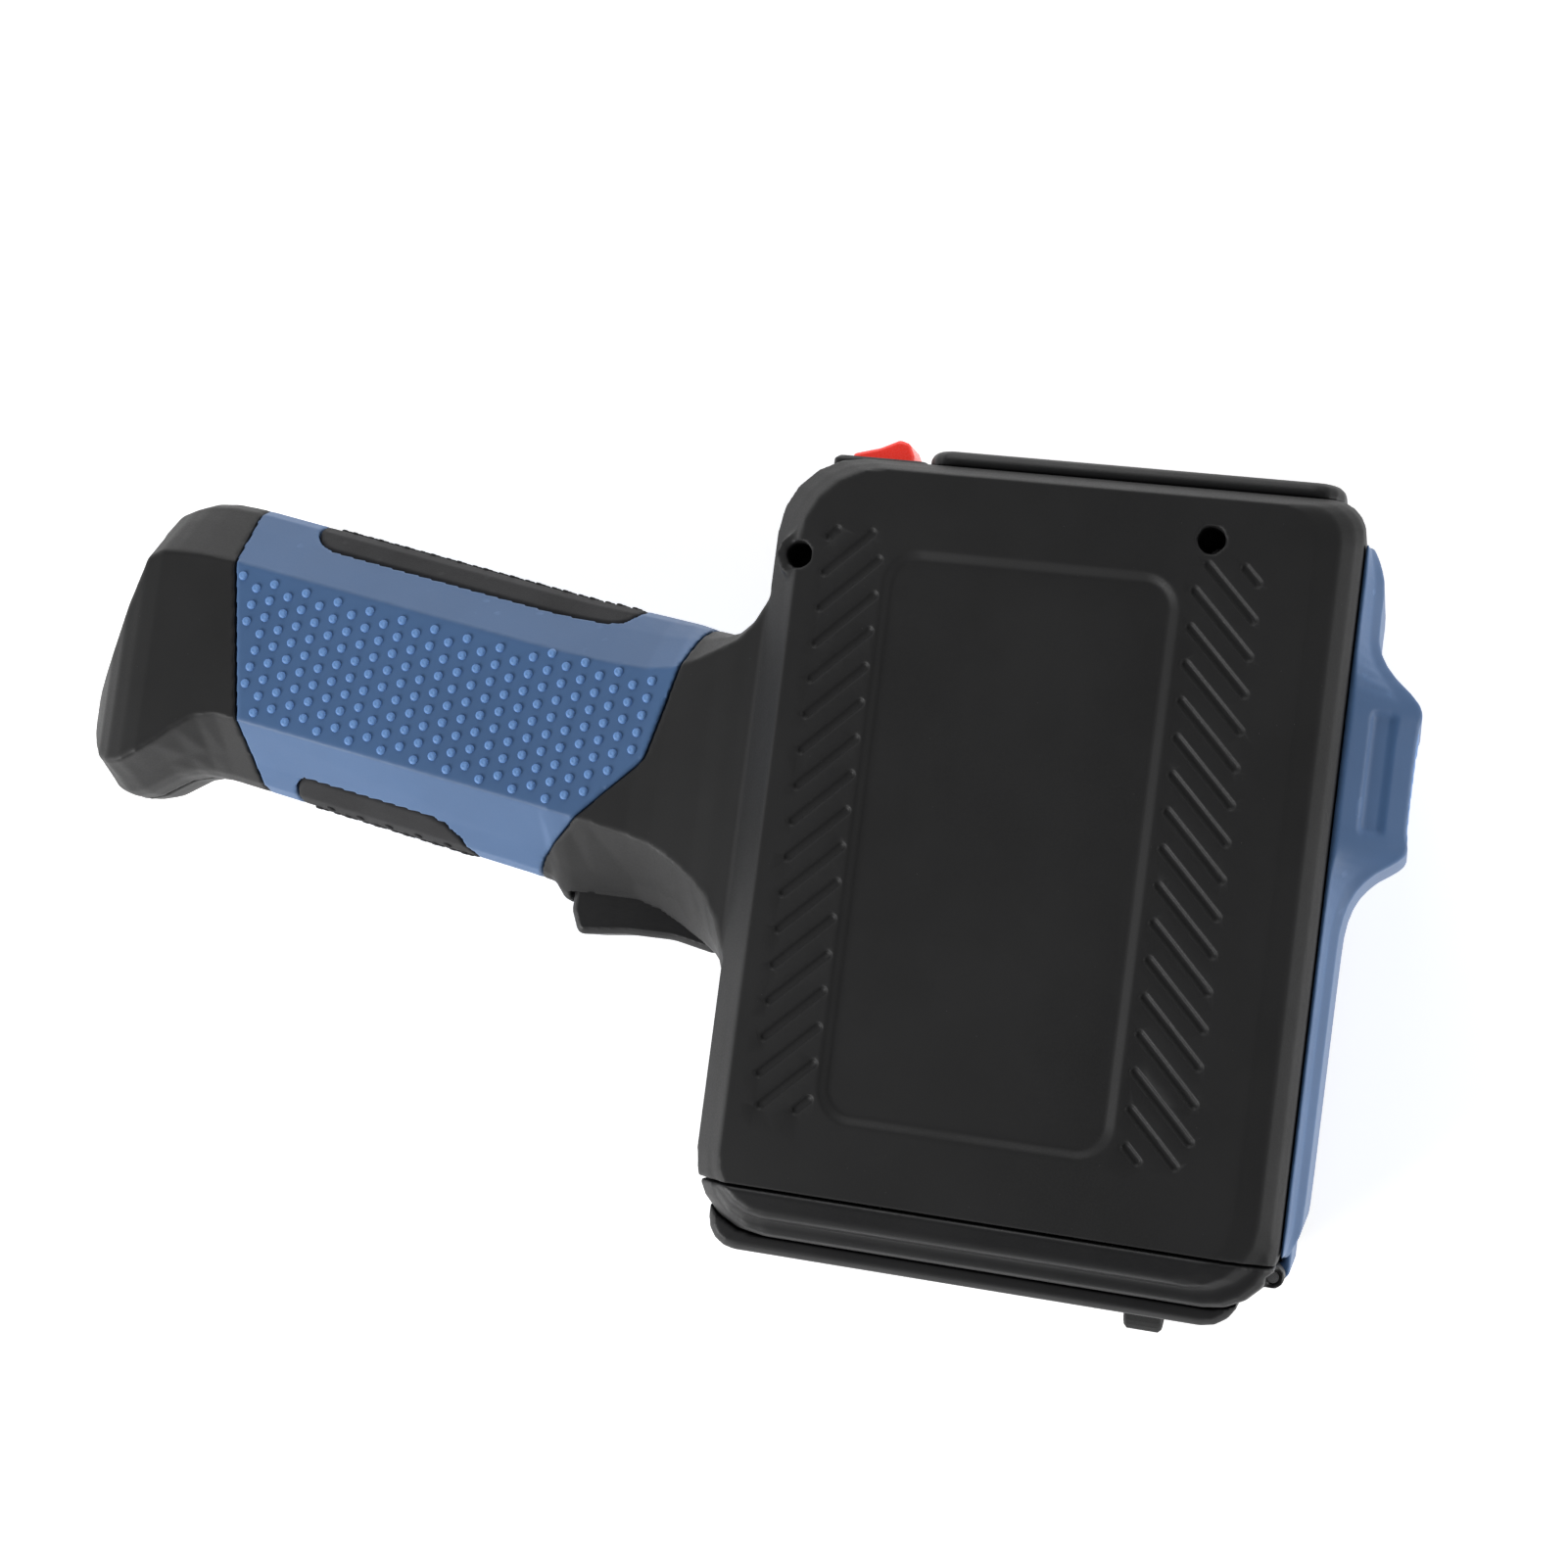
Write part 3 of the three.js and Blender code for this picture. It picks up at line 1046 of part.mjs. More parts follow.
const sleeve = gripSleeve();
add('grip_sleeve_right', above(sleeve, SEAT_GAP), FINISH.gripBlue);
add('grip_sleeve_left', below(sleeve, -SEAT_GAP), FINISH.gripBlue);
add('rear_grip_insert', gripInsert(rearInsertZone(GAP)), FINISH.insertBlack);
add('front_grip_insert', gripInsert(frontInsertZone(GAP)), FINISH.insertBlack);

add('trigger', trigger(), FINISH.capBlack);
add('trigger_pin', rod(TRIGGER_PIN.radius, TRIGGER.pivotX, TRIGGER.pivotY, -TRIGGER_PIN.half,
  TRIGGER_PIN.half), FINISH.steel);
add('trigger_spring', triggerSpring(), FINISH.steel);
add('trigger_microswitch', microswitch(), FINISH.rubber);

add('screen_bezel', screenBezel(), FINISH.capBlack);
add('touch_glass', touchGlass(), FINISH.glass);
add('lcd_module', lcdModule(), FINISH.steel);
add('main_board', mainBoard(), FINISH.boardGreen);
add('buzzer', rod(BUZZER.radius, BUZZER.z, BUZZER.x, BOARD.y - BUZZER.height, BOARD.y - SEAT_GAP, ALONG_Y, 24),
  FINISH.rubber);
add('rocker_switch_body', rockerSwitchBody(), FINISH.capBlack);
add('rocker_button', rockerButton(), FINISH.switchRed);

add('cartridge_cover', cartridgeCover(), FINISH.gripBlue);
add('cover_latch', coverLatch(), FINISH.capBlack);
add('cover_hinge_pin', rod(HINGE.pin, HINGE.x, HINGE.y, -HINGE.half - 0.4 - HINGE.lug,
  HINGE.half + 0.4 + HINGE.lug, ALONG_Z, 12), FINISH.steel);

add('cartridge_holder', cartridgeHolder(), FINISH.capBlack);
add('ink_cartridge', inkCartridge(), FINISH.rubber);
add('nozzle_plate', box(SNOUT.left + 2, SNOUT.right - 2, SNOUT.end - SEAT_GAP - 0.8, SNOUT.end - SEAT_GAP,
  -SNOUT.half + 2, SNOUT.half - 2), FINISH.gold);
add('contact_block', contactBlock(), FINISH.white);

add('encoder_wheel', measuringWheel(), FINISH.rubber);
add('encoder_shaft', rod(WHEEL.shaft, WHEEL_Y, WHEEL.z, WHEEL.x - WHEEL_SLOT_HALF - ENCODER.setback - 4.3,
  WHEEL.x + WHEEL_SLOT_HALF + 3.7, ALONG_X), FINISH.steel);
add('encoder_module', encoderModule(), FINISH.white);
add('guide_roller', idlerRoller(), FINISH.rubber);
add('guide_roller_axle', rod(IDLER.axle, IDLER_Y, IDLER.z, IDLER.left - AXLE_GRIP + GAP,
  IDLER.right + AXLE_GRIP - GAP, ALONG_X), FINISH.steel);

add('battery_cell_1', batteryCell(1), FINISH.cellWrap);
add('battery_cell_2', batteryCell(-1), FINISH.cellWrap);
add('battery_cradle', batteryCradle(), FINISH.capBlack);
add('charge_port', chargePort(), FINISH.steel);
add('charge_board', portBoard(), FINISH.boardGreen);

CASE_SCREWS.forEach(({ x, y, seat }, index) => {
  const screw = crossHeadScrew(SCREW).rotate([90, 0, 0]).translate([x, y, seat + SEAT_GAP]);
  add(`case_screw_${index + 1}`, screw, FINISH.steel);
});
CAP_SCREW_X.forEach((x, row) => CAP_SCREW_Z.forEach((z, column) => {
  const seat = GUIDE_FRONT + CAP_SCREW.recess - SEAT_GAP;
  const screw = crossHeadScrew(CAP_SCREW).rotate([180, 0, 0]).translate([x, seat, z]);
  add(`cap_screw_${row * 2 + column + 1}`, screw, FINISH.steel);
}));

const extent = new THREE.Box3().setFromObject(printer);
const middle = extent.getCenter(new THREE.Vector3());
printer.position.set(-middle.x, -middle.y, -extent.min.z);

export default printer;
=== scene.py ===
"""Looks of the hand-held label printer: smooth mouldings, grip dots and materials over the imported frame."""
import json
import math

import bmesh
import bpy
import numpy as np
from mathutils import Matrix, Vector
from mathutils.bvhtree import BVHTree


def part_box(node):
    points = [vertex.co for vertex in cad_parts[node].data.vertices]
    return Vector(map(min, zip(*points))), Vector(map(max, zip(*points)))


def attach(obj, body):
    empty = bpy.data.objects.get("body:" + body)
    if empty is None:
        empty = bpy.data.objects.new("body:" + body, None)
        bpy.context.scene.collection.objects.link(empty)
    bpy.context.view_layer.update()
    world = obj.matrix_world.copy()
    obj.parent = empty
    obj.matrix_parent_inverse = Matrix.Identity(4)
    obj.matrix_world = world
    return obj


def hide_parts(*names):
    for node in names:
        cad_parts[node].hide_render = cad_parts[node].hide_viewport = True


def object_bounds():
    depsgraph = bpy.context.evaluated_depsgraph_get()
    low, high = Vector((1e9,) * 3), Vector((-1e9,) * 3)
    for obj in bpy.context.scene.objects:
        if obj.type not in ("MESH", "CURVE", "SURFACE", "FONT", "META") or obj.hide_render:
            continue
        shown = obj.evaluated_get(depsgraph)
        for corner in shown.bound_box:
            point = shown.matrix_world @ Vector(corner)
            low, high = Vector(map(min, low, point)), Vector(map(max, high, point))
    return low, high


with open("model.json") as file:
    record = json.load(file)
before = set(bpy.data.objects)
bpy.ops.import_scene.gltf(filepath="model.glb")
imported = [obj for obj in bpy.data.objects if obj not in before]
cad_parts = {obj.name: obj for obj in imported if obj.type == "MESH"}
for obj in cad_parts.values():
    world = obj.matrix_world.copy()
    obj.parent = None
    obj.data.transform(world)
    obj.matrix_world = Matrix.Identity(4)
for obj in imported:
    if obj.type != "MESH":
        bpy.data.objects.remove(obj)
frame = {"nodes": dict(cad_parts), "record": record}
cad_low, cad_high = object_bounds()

MM = 0.001
SCENE = bpy.context.scene
NODES = frame["nodes"]
COARSENESS = 1.0


# ---------------------------------------------------------------- camera, light and floor
VIEW_RIGHT = Vector((0.96472, 0.12973, -0.22909))
VIEW_UP = Vector((-0.11523, 0.99046, 0.07562))
VIEW_PLACE = Vector((0.12344, -0.01075, 0.4928))
LENS = 59.6
SENSOR = 36.0
FLOOR_HALF = 3.0
FLOOR_DROP = 0.2 * MM                        # keeps the floor just clear of the case
LIGHTS = (                                   # name, place, width, power
    ("key", (-0.75, -0.6, 0.6), 0.6, 8.0),
    ("fill", (0.9, 0.35, 0.5), 0.8, 0.35),
    ("side", (1.0, -0.1, 0.1), 0.5, 2.6),
    ("back", (-0.2, 0.9, 0.55), 0.7, 2.6),
)


def make_camera():
    data = bpy.data.cameras.new("camera")
    data.lens = LENS
    data.sensor_width = SENSOR
    data.clip_start = 0.01
    data.clip_end = 20
    camera = bpy.data.objects.new("camera", data)
    SCENE.collection.objects.link(camera)
    backward = VIEW_RIGHT.cross(VIEW_UP).normalized()
    up = backward.cross(VIEW_RIGHT).normalized()
    turn = Matrix((VIEW_RIGHT.normalized(), up, backward)).transposed()
    camera.matrix_world = Matrix.Translation(VIEW_PLACE) @ turn.to_4x4()
    SCENE.camera = camera


def make_lights():
    target = (cad_low + cad_high) / 2
    for name, place, width, power in LIGHTS:
        data = bpy.data.lights.new(name, "AREA")
        data.shape = "DISK"
        data.size = width
        data.energy = power
        light = bpy.data.objects.new(name, data)
        SCENE.collection.objects.link(light)
        light.location = place
        aim = (target - Vector(place)).normalized()
        light.rotation_euler = aim.to_track_quat("-Z", "Y").to_euler()


def make_world():
    """A sky that is bright at the horizon and darker overhead."""
    world = bpy.data.worlds.new("studio")
    SCENE.world = world
    world.use_nodes = True
    tree = world.node_tree
    tree.nodes.clear()
    place = tree.nodes.new("ShaderNodeTexCoord")
    split = tree.nodes.new("ShaderNodeSeparateXYZ")
    ramp = tree.nodes.new("ShaderNodeValToRGB")
    ramp.color_ramp.elements[0].position = 0.0
    ramp.color_ramp.elements[0].color = (0.95, 0.95, 0.95, 1)
    ramp.color_ramp.elements[1].position = 0.75
    ramp.color_ramp.elements[1].color = (0.1, 0.1, 0.1, 1)
    sky = tree.nodes.new("ShaderNodeBackground")
    sky.inputs["Strength"].default_value = 0.9
    out = tree.nodes.new("ShaderNodeOutputWorld")
    tree.links.new(place.outputs["Generated"], split.inputs[0])
    tree.links.new(split.outputs["Z"], ramp.inputs[0])
    tree.links.new(ramp.outputs[0], sky.inputs["Color"])
    tree.links.new(sky.outputs[0], out.inputs["Surface"])


def make_floor():
    mesh = bpy.data.meshes.new("floor")
    corners = [(x * FLOOR_HALF, y * FLOOR_HALF, 0) for x, y in ((-1, -1), (1, -1), (1, 1), (-1, 1))]
    mesh.from_pydata(corners, [], [(0, 1, 2, 3)])
    floor = bpy.data.objects.new("floor", mesh)
    floor.location.z = -FLOOR_DROP
    SCENE.collection.objects.link(floor)
    paper = bpy.data.materials.new("floor_paper")
    paper.use_nodes = True
    shader = paper.node_tree.nodes["Principled BSDF"]
    shader.inputs["Base Color"].default_value = (0.88, 0.88, 0.88, 1)
    shader.inputs["Roughness"].default_value = 0.9
    shader.inputs["Specular IOR Level"].default_value = 0.1
    shader.inputs["Emission Color"].default_value = (1, 1, 1, 1)
    shader.inputs["Emission Strength"].default_value = 0.75
    mesh.materials.append(paper)


# ---------------------------------------------------------------- materials
def toned(color, gain, lift=0.0):
    """A colour made darker or lighter, no brighter than white."""
    return tuple(min(1, c * gain + lift) for c in color)


class Shader:
    """A node tree around one Principled shader, with short calls for the nodes the finishes share."""

    def __init__(self, name):
        self.material = bpy.data.materials.new(name)
        self.material.use_nodes = True
        self.tree = self.material.node_tree
        self.main = self.tree.nodes["Principled BSDF"]
        self.place = self.node("ShaderNodeTexCoord").outputs["Object"]

    def node(self, kind, **settings):
        made = self.tree.nodes.new(kind)
        for key, value in settings.items():
            setattr(made, key, value)
        return made

    def link(self, source, target):
        self.tree.links.new(source, target)

    def noise(self, size, detail=2.0, rough=0.5, stretch=None):
        """Noise whose cells are about size metres across."""
        made = self.node("ShaderNodeTexNoise")
        made.inputs["Scale"].default_value = 1.0 / size
        made.inputs["Detail"].default_value = detail
        made.inputs["Roughness"].default_value = rough
        source = self.place
        if stretch:
            mapping = self.node("ShaderNodeMapping")
            mapping.inputs["Scale"].default_value = stretch
            self.link(self.place, mapping.inputs["Vector"])
            source = mapping.outputs[0]
        self.link(source, made.inputs["Vector"])
        return made.outputs["Fac"]

    def cells(self, size):
        made = self.node("ShaderNodeTexVoronoi")
        made.inputs["Scale"].default_value = 1.0 / size
        self.link(self.place, made.inputs["Vector"])
        return made.outputs["Distance"]

    def remap(self, value, low, high, to_low, to_high):
        made = self.node("ShaderNodeMapRange")
        sockets = ("From Min", "From Max", "To Min", "To Max")
        for socket, number in zip(sockets, (low, high, to_low, to_high)):
            made.inputs[socket].default_value = number
        self.link(value, made.inputs["Value"])
        return made.outputs["Result"]

    def math(self, operation, first, second):
        made = self.node("ShaderNodeMath", operation=operation)
        for socket, value in zip(made.inputs, (first, second)):
            if isinstance(value, (int, float)):
                socket.default_value = value
            else:
                self.link(value, socket)
        return made.outputs[0]

    def blend(self, share, first, second):
        made = self.node("ShaderNodeMix", data_type="RGBA")
        for socket, value in zip((made.inputs[6], made.inputs[7]), (first, second)):
            if isinstance(value, tuple):
                socket.default_value = (*value, 1)
            else:
                self.link(value, socket)
        self.link(share, made.inputs[0])
        return made.outputs[2]

    def edges(self, low=0.505, high=0.56):
        """0 on flat areas, rising to 1 along convex edges."""
        return self.remap(self.node("ShaderNodeNewGeometry").outputs["Pointiness"], low, high, 0, 1)

    def bump(self, height, strength, depth):
        made = self.node("ShaderNodeBump")
        made.inputs["Strength"].default_value = strength
        made.inputs["Distance"].default_value = depth
        self.link(height, made.inputs["Height"])
        self.link(made.outputs[0], self.main.inputs["Normal"])


def moulded(name, color, rough, grain=0.35 * MM, depth=0.02 * MM, mottle=0.12, edge_wear_and_highlight=0.35, specks=0.0,
            gloss=0.5, raised=0.0, glow=0.0):
    """Satin moulding: fine grain, faint mottling, polished edges lightened for wear and as a painted edge
    highlight, a little dust.

    raised lightens the dots marked on the mesh as a painted highlight, and glow is the share of the colour
    that is given off as a painted glow.
    """
    s = Shader(name)
    cloud = s.remap(s.noise(18 * MM, 3), 0.35, 0.65, 0, 1)
    tone = s.blend(cloud, toned(color, 1 - mottle), toned(color, 1 + mottle))
    # Lighter convex edges, broken into patches: part wear, part painted edge highlight.
    patchy_wear_and_highlight = s.remap(s.noise(4 * MM, 4, 0.6), 0.45, 0.7, 0, 1)
    edge = s.math("MULTIPLY", s.math("MULTIPLY", s.edges(), patchy_wear_and_highlight), edge_wear_and_highlight)
    tone = s.blend(edge, tone, toned(color, 1.5, 0.012))
    # The marked dots are lightened: a painted highlight on the studs.
    if raised:
        dots = s.node("ShaderNodeAttribute", attribute_name="raised").outputs["Fac"]
        tone = s.blend(s.math("MULTIPLY", dots, raised), tone, toned(color, 2.1, 0.02))
    fine = s.noise(grain, 2.5, 0.6)
    if specks:
        dust = s.remap(s.cells(1.6 * MM), 0.0, 0.045, 1, 0)
        sparse = s.remap(s.noise(4.5 * MM, 1), 0.56, 0.6, 0, specks)
        tone = s.blend(s.math("MULTIPLY", dust, sparse), tone, (0.3, 0.3, 0.3))
    s.link(tone, s.main.inputs["Base Color"])
    smudge = s.remap(s.noise(30 * MM, 4, 0.6, (1, 0.55, 1)), 0.3, 0.7, -0.05, 0.05)
    sparkle = s.remap(fine, 0.3, 0.7, -0.05, 0.05)
    polish = s.math("MULTIPLY", edge, -0.25)
    total = s.math("ADD", s.math("ADD", smudge, sparkle), s.math("ADD", polish, rough))
    s.link(total, s.main.inputs["Roughness"])
    s.main.inputs["Specular IOR Level"].default_value = gloss
    s.main.inputs["Emission Color"].default_value = (*color, 1)
    s.main.inputs["Emission Strength"].default_value = glow
    s.bump(fine, 0.6, depth)
    return s.material


def metal(name, color, rough):
    s = Shader(name)
    s.main.inputs["Metallic"].default_value = 1.0
    fine = s.noise(0.4 * MM, 3, 0.6)
    tone = s.blend(s.remap(s.noise(3 * MM, 3), 0.3, 0.7, 0, 1), toned(color, 0.85), color)
    s.link(tone, s.main.inputs["Base Color"])
    s.link(s.remap(fine, 0.3, 0.7, rough - 0.08, rough + 0.1), s.main.inputs["Roughness"])
    s.bump(fine, 0.5, 0.006 * MM)
    return s.material


def rubber(name, color, rough=0.75):
    s = Shader(name)
    fine = s.noise(0.25 * MM, 3, 0.65)
    cloud = s.remap(s.noise(12 * MM, 4), 0.35, 0.65, 0, 1)
    tone = s.blend(cloud, toned(color, 0.85), toned(color, 1.25))
    # Lighter along convex edges.
    lighter_rims = s.math("MULTIPLY", s.edges(0.5, 0.58), 0.35)
    s.link(s.blend(lighter_rims, tone, toned(color, 1.6, 0.01)), s.main.inputs["Base Color"])
    s.link(s.remap(fine, 0.3, 0.7, rough - 0.08, rough + 0.08), s.main.inputs["Roughness"])
    s.main.inputs["Specular IOR Level"].default_value = 0.35
    s.bump(fine, 0.6, 0.03 * MM)
    return s.material


def dark_glass():
    s = Shader("screen_glass")
    smear = s.remap(s.noise(20 * MM, 5, 0.65), 0.4, 0.7, 0.05, 0.16)
    s.main.inputs["Base Color"].default_value = (0.006, 0.007, 0.009, 1)
    s.link(smear, s.main.inputs["Roughness"])
    s.main.inputs["Coat Weight"].default_value = 0.6
    s.main.inputs["Coat Roughness"].default_value = 0.03
    return s.material


def board():
    s = Shader("circuit_board")
    traces = s.remap(s.noise(1.2 * MM, 1, 0.4, (1, 3.5, 1)), 0.48, 0.52, 0, 1)
    tone = s.blend(traces, (0.008, 0.075, 0.03), (0.016, 0.13, 0.055))
    s.link(tone, s.main.inputs["Base Color"])
    s.link(s.remap(s.noise(0.6 * MM), 0.3, 0.7, 0.25, 0.45), s.main.inputs["Roughness"])
    s.bump(traces, 0.4, 0.03 * MM)
    return s.material


FINISHES = {
    "case_black": moulded("case_black", (0.0138, 0.0138, 0.0143), 0.56, specks=0.5, gloss=0.45),
    "cap_black": moulded("cap_black", (0.012, 0.012, 0.013), 0.46, mottle=0.08),
    # raised=1.0 lightens the grip's dots: a painted highlight.
    "grip_blue": moulded("grip_blue", (0.078, 0.166, 0.345), 0.48, mottle=0.04, edge_wear_and_highlight=0.5, raised=1.0),
    "insert_black": rubber("insert_black", (0.027, 0.027, 0.029)),
    # glow makes the red switch give off part of its colour: a painted glow.
    "switch_red": moulded("switch_red", (0.95, 0.05, 0.035), 0.25, depth=0.004 * MM, mottle=0.05,
                          edge_wear_and_highlight=0.2, glow=0.4),
    "screen_glass": dark_glass(),
    "display_stack": metal("display_stack", (0.5, 0.51, 0.53), 0.4),
    "steel": metal("steel", (0.6, 0.6, 0.62), 0.3),
    "circuit_board": board(),
    "white_plastic": moulded("white_plastic", (0.7, 0.7, 0.66), 0.4, edge_wear_and_highlight=0.1),
    "cell_wrap": moulded("cell_wrap", (0.04, 0.26, 0.12), 0.28, depth=0.006 * MM, edge_wear_and_highlight=0.2),
    "roller_rubber": rubber("roller_rubber", (0.012, 0.012, 0.012), 0.8),
    "cartridge_black": moulded("cartridge_black", (0.013, 0.013, 0.014), 0.36, depth=0.01 * MM),
    "contact_gold": metal("contact_gold", (0.85, 0.6, 0.25), 0.25),
}
SLOTS = {row["node"]: row["material_slot"] for row in frame["record"]["subparts"]}
BODIES = frame["record"]["behaviour"]["bodies"]
BODY_OF = {node: body for body, members in BODIES.items() for node in members}


# ---------------------------------------------------------------- mesh helpers
RELAX_PUSH = 0.5
RELAX_PULL = -0.52                           # a little more than the push, so that nothing shrinks


def points_of(mesh):
    flat = np.empty(len(mesh.vertices) * 3)
    mesh.vertices.foreach_get("co", flat)
    return flat.reshape(-1, 3)


def set_points(mesh, points):
    mesh.vertices.foreach_set("co", points.reshape(-1))
    mesh.update()


def apply_modifiers(piece):
    graph = bpy.context.evaluated_depsgraph_get()
    made = bpy.data.meshes.new_from_object(piece.evaluated_get(graph), depsgraph=graph)
    piece.modifiers.clear()
    old = piece.data
    piece.data = made
    bpy.data.meshes.remove(old)


def relax(mesh, rounds, weight=None):
    """Evens the surface without shrinking it. weight gives each point's share of the movement."""
    points = points_of(mesh)
    count = len(points)
    flat = np.empty(len(mesh.edges) * 2, np.int64)
    mesh.edges.foreach_get("vertices", flat)
    first, second = flat.reshape(-1, 2).T
    ends = np.bincount(first, minlength=count) + np.bincount(second, minlength=count)
    degree = np.maximum(ends, 1)
    share = np.ones(count) if weight is None else weight(points)
    for step in range(2 * rounds):
        push = RELAX_PUSH if step % 2 == 0 else RELAX_PULL
        for axis in range(3):
            column = points[:, axis]
            near = np.bincount(first, column[second], count)
            near += np.bincount(second, column[first], count)
            points[:, axis] = column + push * share * (near / degree - column)
    set_points(mesh, points)


def settle(piece, node):
    """Gives a new piece its node's body, slot and finish, and shades it smooth."""
    slot = SLOTS[node]
    piece.data.materials.clear()
    piece.data.materials.append(FINISHES[slot])
    piece.data.polygons.foreach_set("use_smooth", [True] * len(piece.data.polygons))
    piece.data.polygons.foreach_set("material_index", [0] * len(piece.data.polygons))
    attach(piece, BODY_OF[node])


def moulding(name, node, voxel, rounds=3, weight=None, limit=None, dots=None, before=None, after=None):
    """A smooth moulding with rounded edges, made from the CAD solid of the node that it replaces.

    voxel is in mm and limit in triangles. before is called with the CAD mesh, after with the smooth
    piece, and dots builds the raised dots that are added last.
    """
    piece = bpy.data.objects.new(name, NODES[node].data.copy())
    SCENE.collection.objects.link(piece)
    if before:
        before(piece.data)
    remesh = piece.modifiers.new("Remesh", "REMESH")
    remesh.mode = "VOXEL"
    remesh.voxel_size = voxel * MM * COARSENESS
    apply_modifiers(piece)
    relax(piece.data, rounds, weight)
    if after:
        after(piece)
    if dots:
        add_mesh(piece, *dots(piece))
    if limit and len(piece.data.polygons) * 2 > limit:
        fewer = piece.modifiers.new("Decimate", "DECIMATE")
        fewer.ratio = limit / (2 * len(piece.data.polygons))
        apply_modifiers(piece)
    settle(piece, node)
    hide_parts(node)
    return piece


def add_mesh(piece, points, faces):
    """Adds closed shapes, sunk into the surface, to a piece's mesh."""
    mesh = piece.data
    old_points = points_of(mesh)
    start = len(old_points)
    corners = np.empty(len(mesh.loops), np.int64)
    mesh.loops.foreach_get("vertex_index", corners)
    totals = np.empty(len(mesh.polygons), np.int64)
    mesh.polygons.foreach_get("loop_total", totals)
    old_faces = np.split(corners, np.cumsum(totals)[:-1])
    made = bpy.data.meshes.new(mesh.name)
    new_faces = [[start + corner for corner in face] for face in faces]
    made.from_pydata(np.vstack([old_points, points]).tolist(), [],
                     [face.tolist() for face in old_faces] + new_faces)
    # Marks the added dots, which the grip finish lightens as a painted highlight.
    mark = made.attributes.new("raised", "FLOAT", "POINT")
    mark.data.foreach_set("value", [0.0] * start + [1.0] * len(points))
    piece.data = made
    bpy.data.meshes.remove(mesh)


DOT_SIDES = 12
DOT_SINK = 0.35 * MM                         # depth of a dot's foot below the surface
DOT_PROFILE = ((1.02, 0.08), (0.96, 0.45), (0.82, 0.78), (0.6, 0.96), (0.38, 1.0), (0.16, 0.9))
DOT_FOOT = 1.05                              # shares of a dot's radius, as in the profile
DOT_DIMPLE = 0.86                            # share of its height


def dome(radius, height):
    """Points and faces of a raised dot: a rounded stud with a faint dimple, its foot sunk below its seat."""
    rows = [(radius * DOT_FOOT, -DOT_SINK)]
    rows += [(radius * share, lift * height) for share, lift in DOT_PROFILE]
    angles = [2 * math.pi * side / DOT_SIDES for side in range(DOT_SIDES)]
    points = [Vector((r * math.cos(a), r * math.sin(a), z)) for r, z in rows for a in angles]
    faces = []
    for row in range(len(rows) - 1):
        low, high = row * DOT_SIDES, (row + 1) * DOT_SIDES
        for side in range(DOT_SIDES):
            after = (side + 1) % DOT_SIDES
            faces.append((low + side, low + after, high + after, high + side))
    points.append(Vector((0, 0, DOT_DIMPLE * height)))
    last = (len(rows) - 1) * DOT_SIDES
    faces += [(last + side, last + (side + 1) % DOT_SIDES, len(points) - 1) for side in range(DOT_SIDES)]
    faces.append(tuple(reversed(range(DOT_SIDES))))
    return points, faces


def studs(piece, seats, aim, radius, height, evenness, facing=0.25, ring=1.5):
    """A dot at each seat where the surface is even and faces against aim, which points into the piece.

    evenness is the greatest step allowed at a ring round the dot, ring radii away.
    """
    surface = BVHTree.FromPolygons([v.co for v in piece.data.vertices],
                                   [tuple(p.vertices) for p in piece.data.polygons])
    aim = Vector(aim)
    side = aim.orthogonal().normalized()
    across = aim.cross(side)
    base_points, base_faces = dome(radius, height)
    points, faces = [], []
    for seat in seats:
        hit, normal, _, _ = surface.ray_cast(seat, aim)
        if hit is None or normal.dot(-aim) < facing:
            continue
        turns = [k * math.pi / 3 for k in range(6)]
        spokes = [math.cos(a) * side + math.sin(a) * across for a in turns]
        around = [surface.ray_cast(seat + radius * ring * spoke, aim)[0] for spoke in spokes]
        if any(spot is None or abs((spot - hit).dot(normal)) > evenness for spot in around):
            continue
        turn = normal.to_track_quat("Z", "Y").to_matrix()
        start = len(points)
        points += [hit + turn @ p for p in base_points]
        faces += [tuple(start + corner for corner in face) for face in base_faces]
    return [tuple(p) for p in points], faces


# ---------------------------------------------------------------- grip dots
CASE_LOW, CASE_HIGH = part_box("right_shell")
SLEEVE_LOW, SLEEVE_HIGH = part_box("grip_sleeve_right")
DOT_ROW = Vector((-0.519, -3.134, 0)) * MM   # from one dot to the next across the grip
DOT_COLUMN = Vector((3.505, 1.058, 0)) * MM  # to the neighbour in the next column along it
DOT_START = Vector((-48.03, -32.31, 0)) * MM  # first dot, from the cover's front upper corner
DOT_RADIUS = 0.82 * MM
DOT_HEIGHT = 0.5 * MM
DOT_EVENNESS = 0.2 * MM
DOT_FACING = 0.975                           # keeps the dots on the flat of the grip
DOT_RING = 1.35
CLEAR = 10 * MM                              # dots are looked for from this far outside a piece


def sleeve_seats(height):
    """Staggered seats over the grip's side."""
    first = Vector((SLEEVE_HIGH.x, SLEEVE_HIGH.y, height)) + DOT_START
    for column in range(-16, 17):
        for row in range(-8, 9):
            yield first + column * DOT_COLUMN + (row + column // 2) * DOT_ROW


def sleeve_studs(height, aim_z):
    def build(piece):
        return studs(piece, sleeve_seats(height), (0, 0, aim_z), DOT_RADIUS, DOT_HEIGHT,
                     DOT_EVENNESS, DOT_FACING, DOT_RING)
    return build


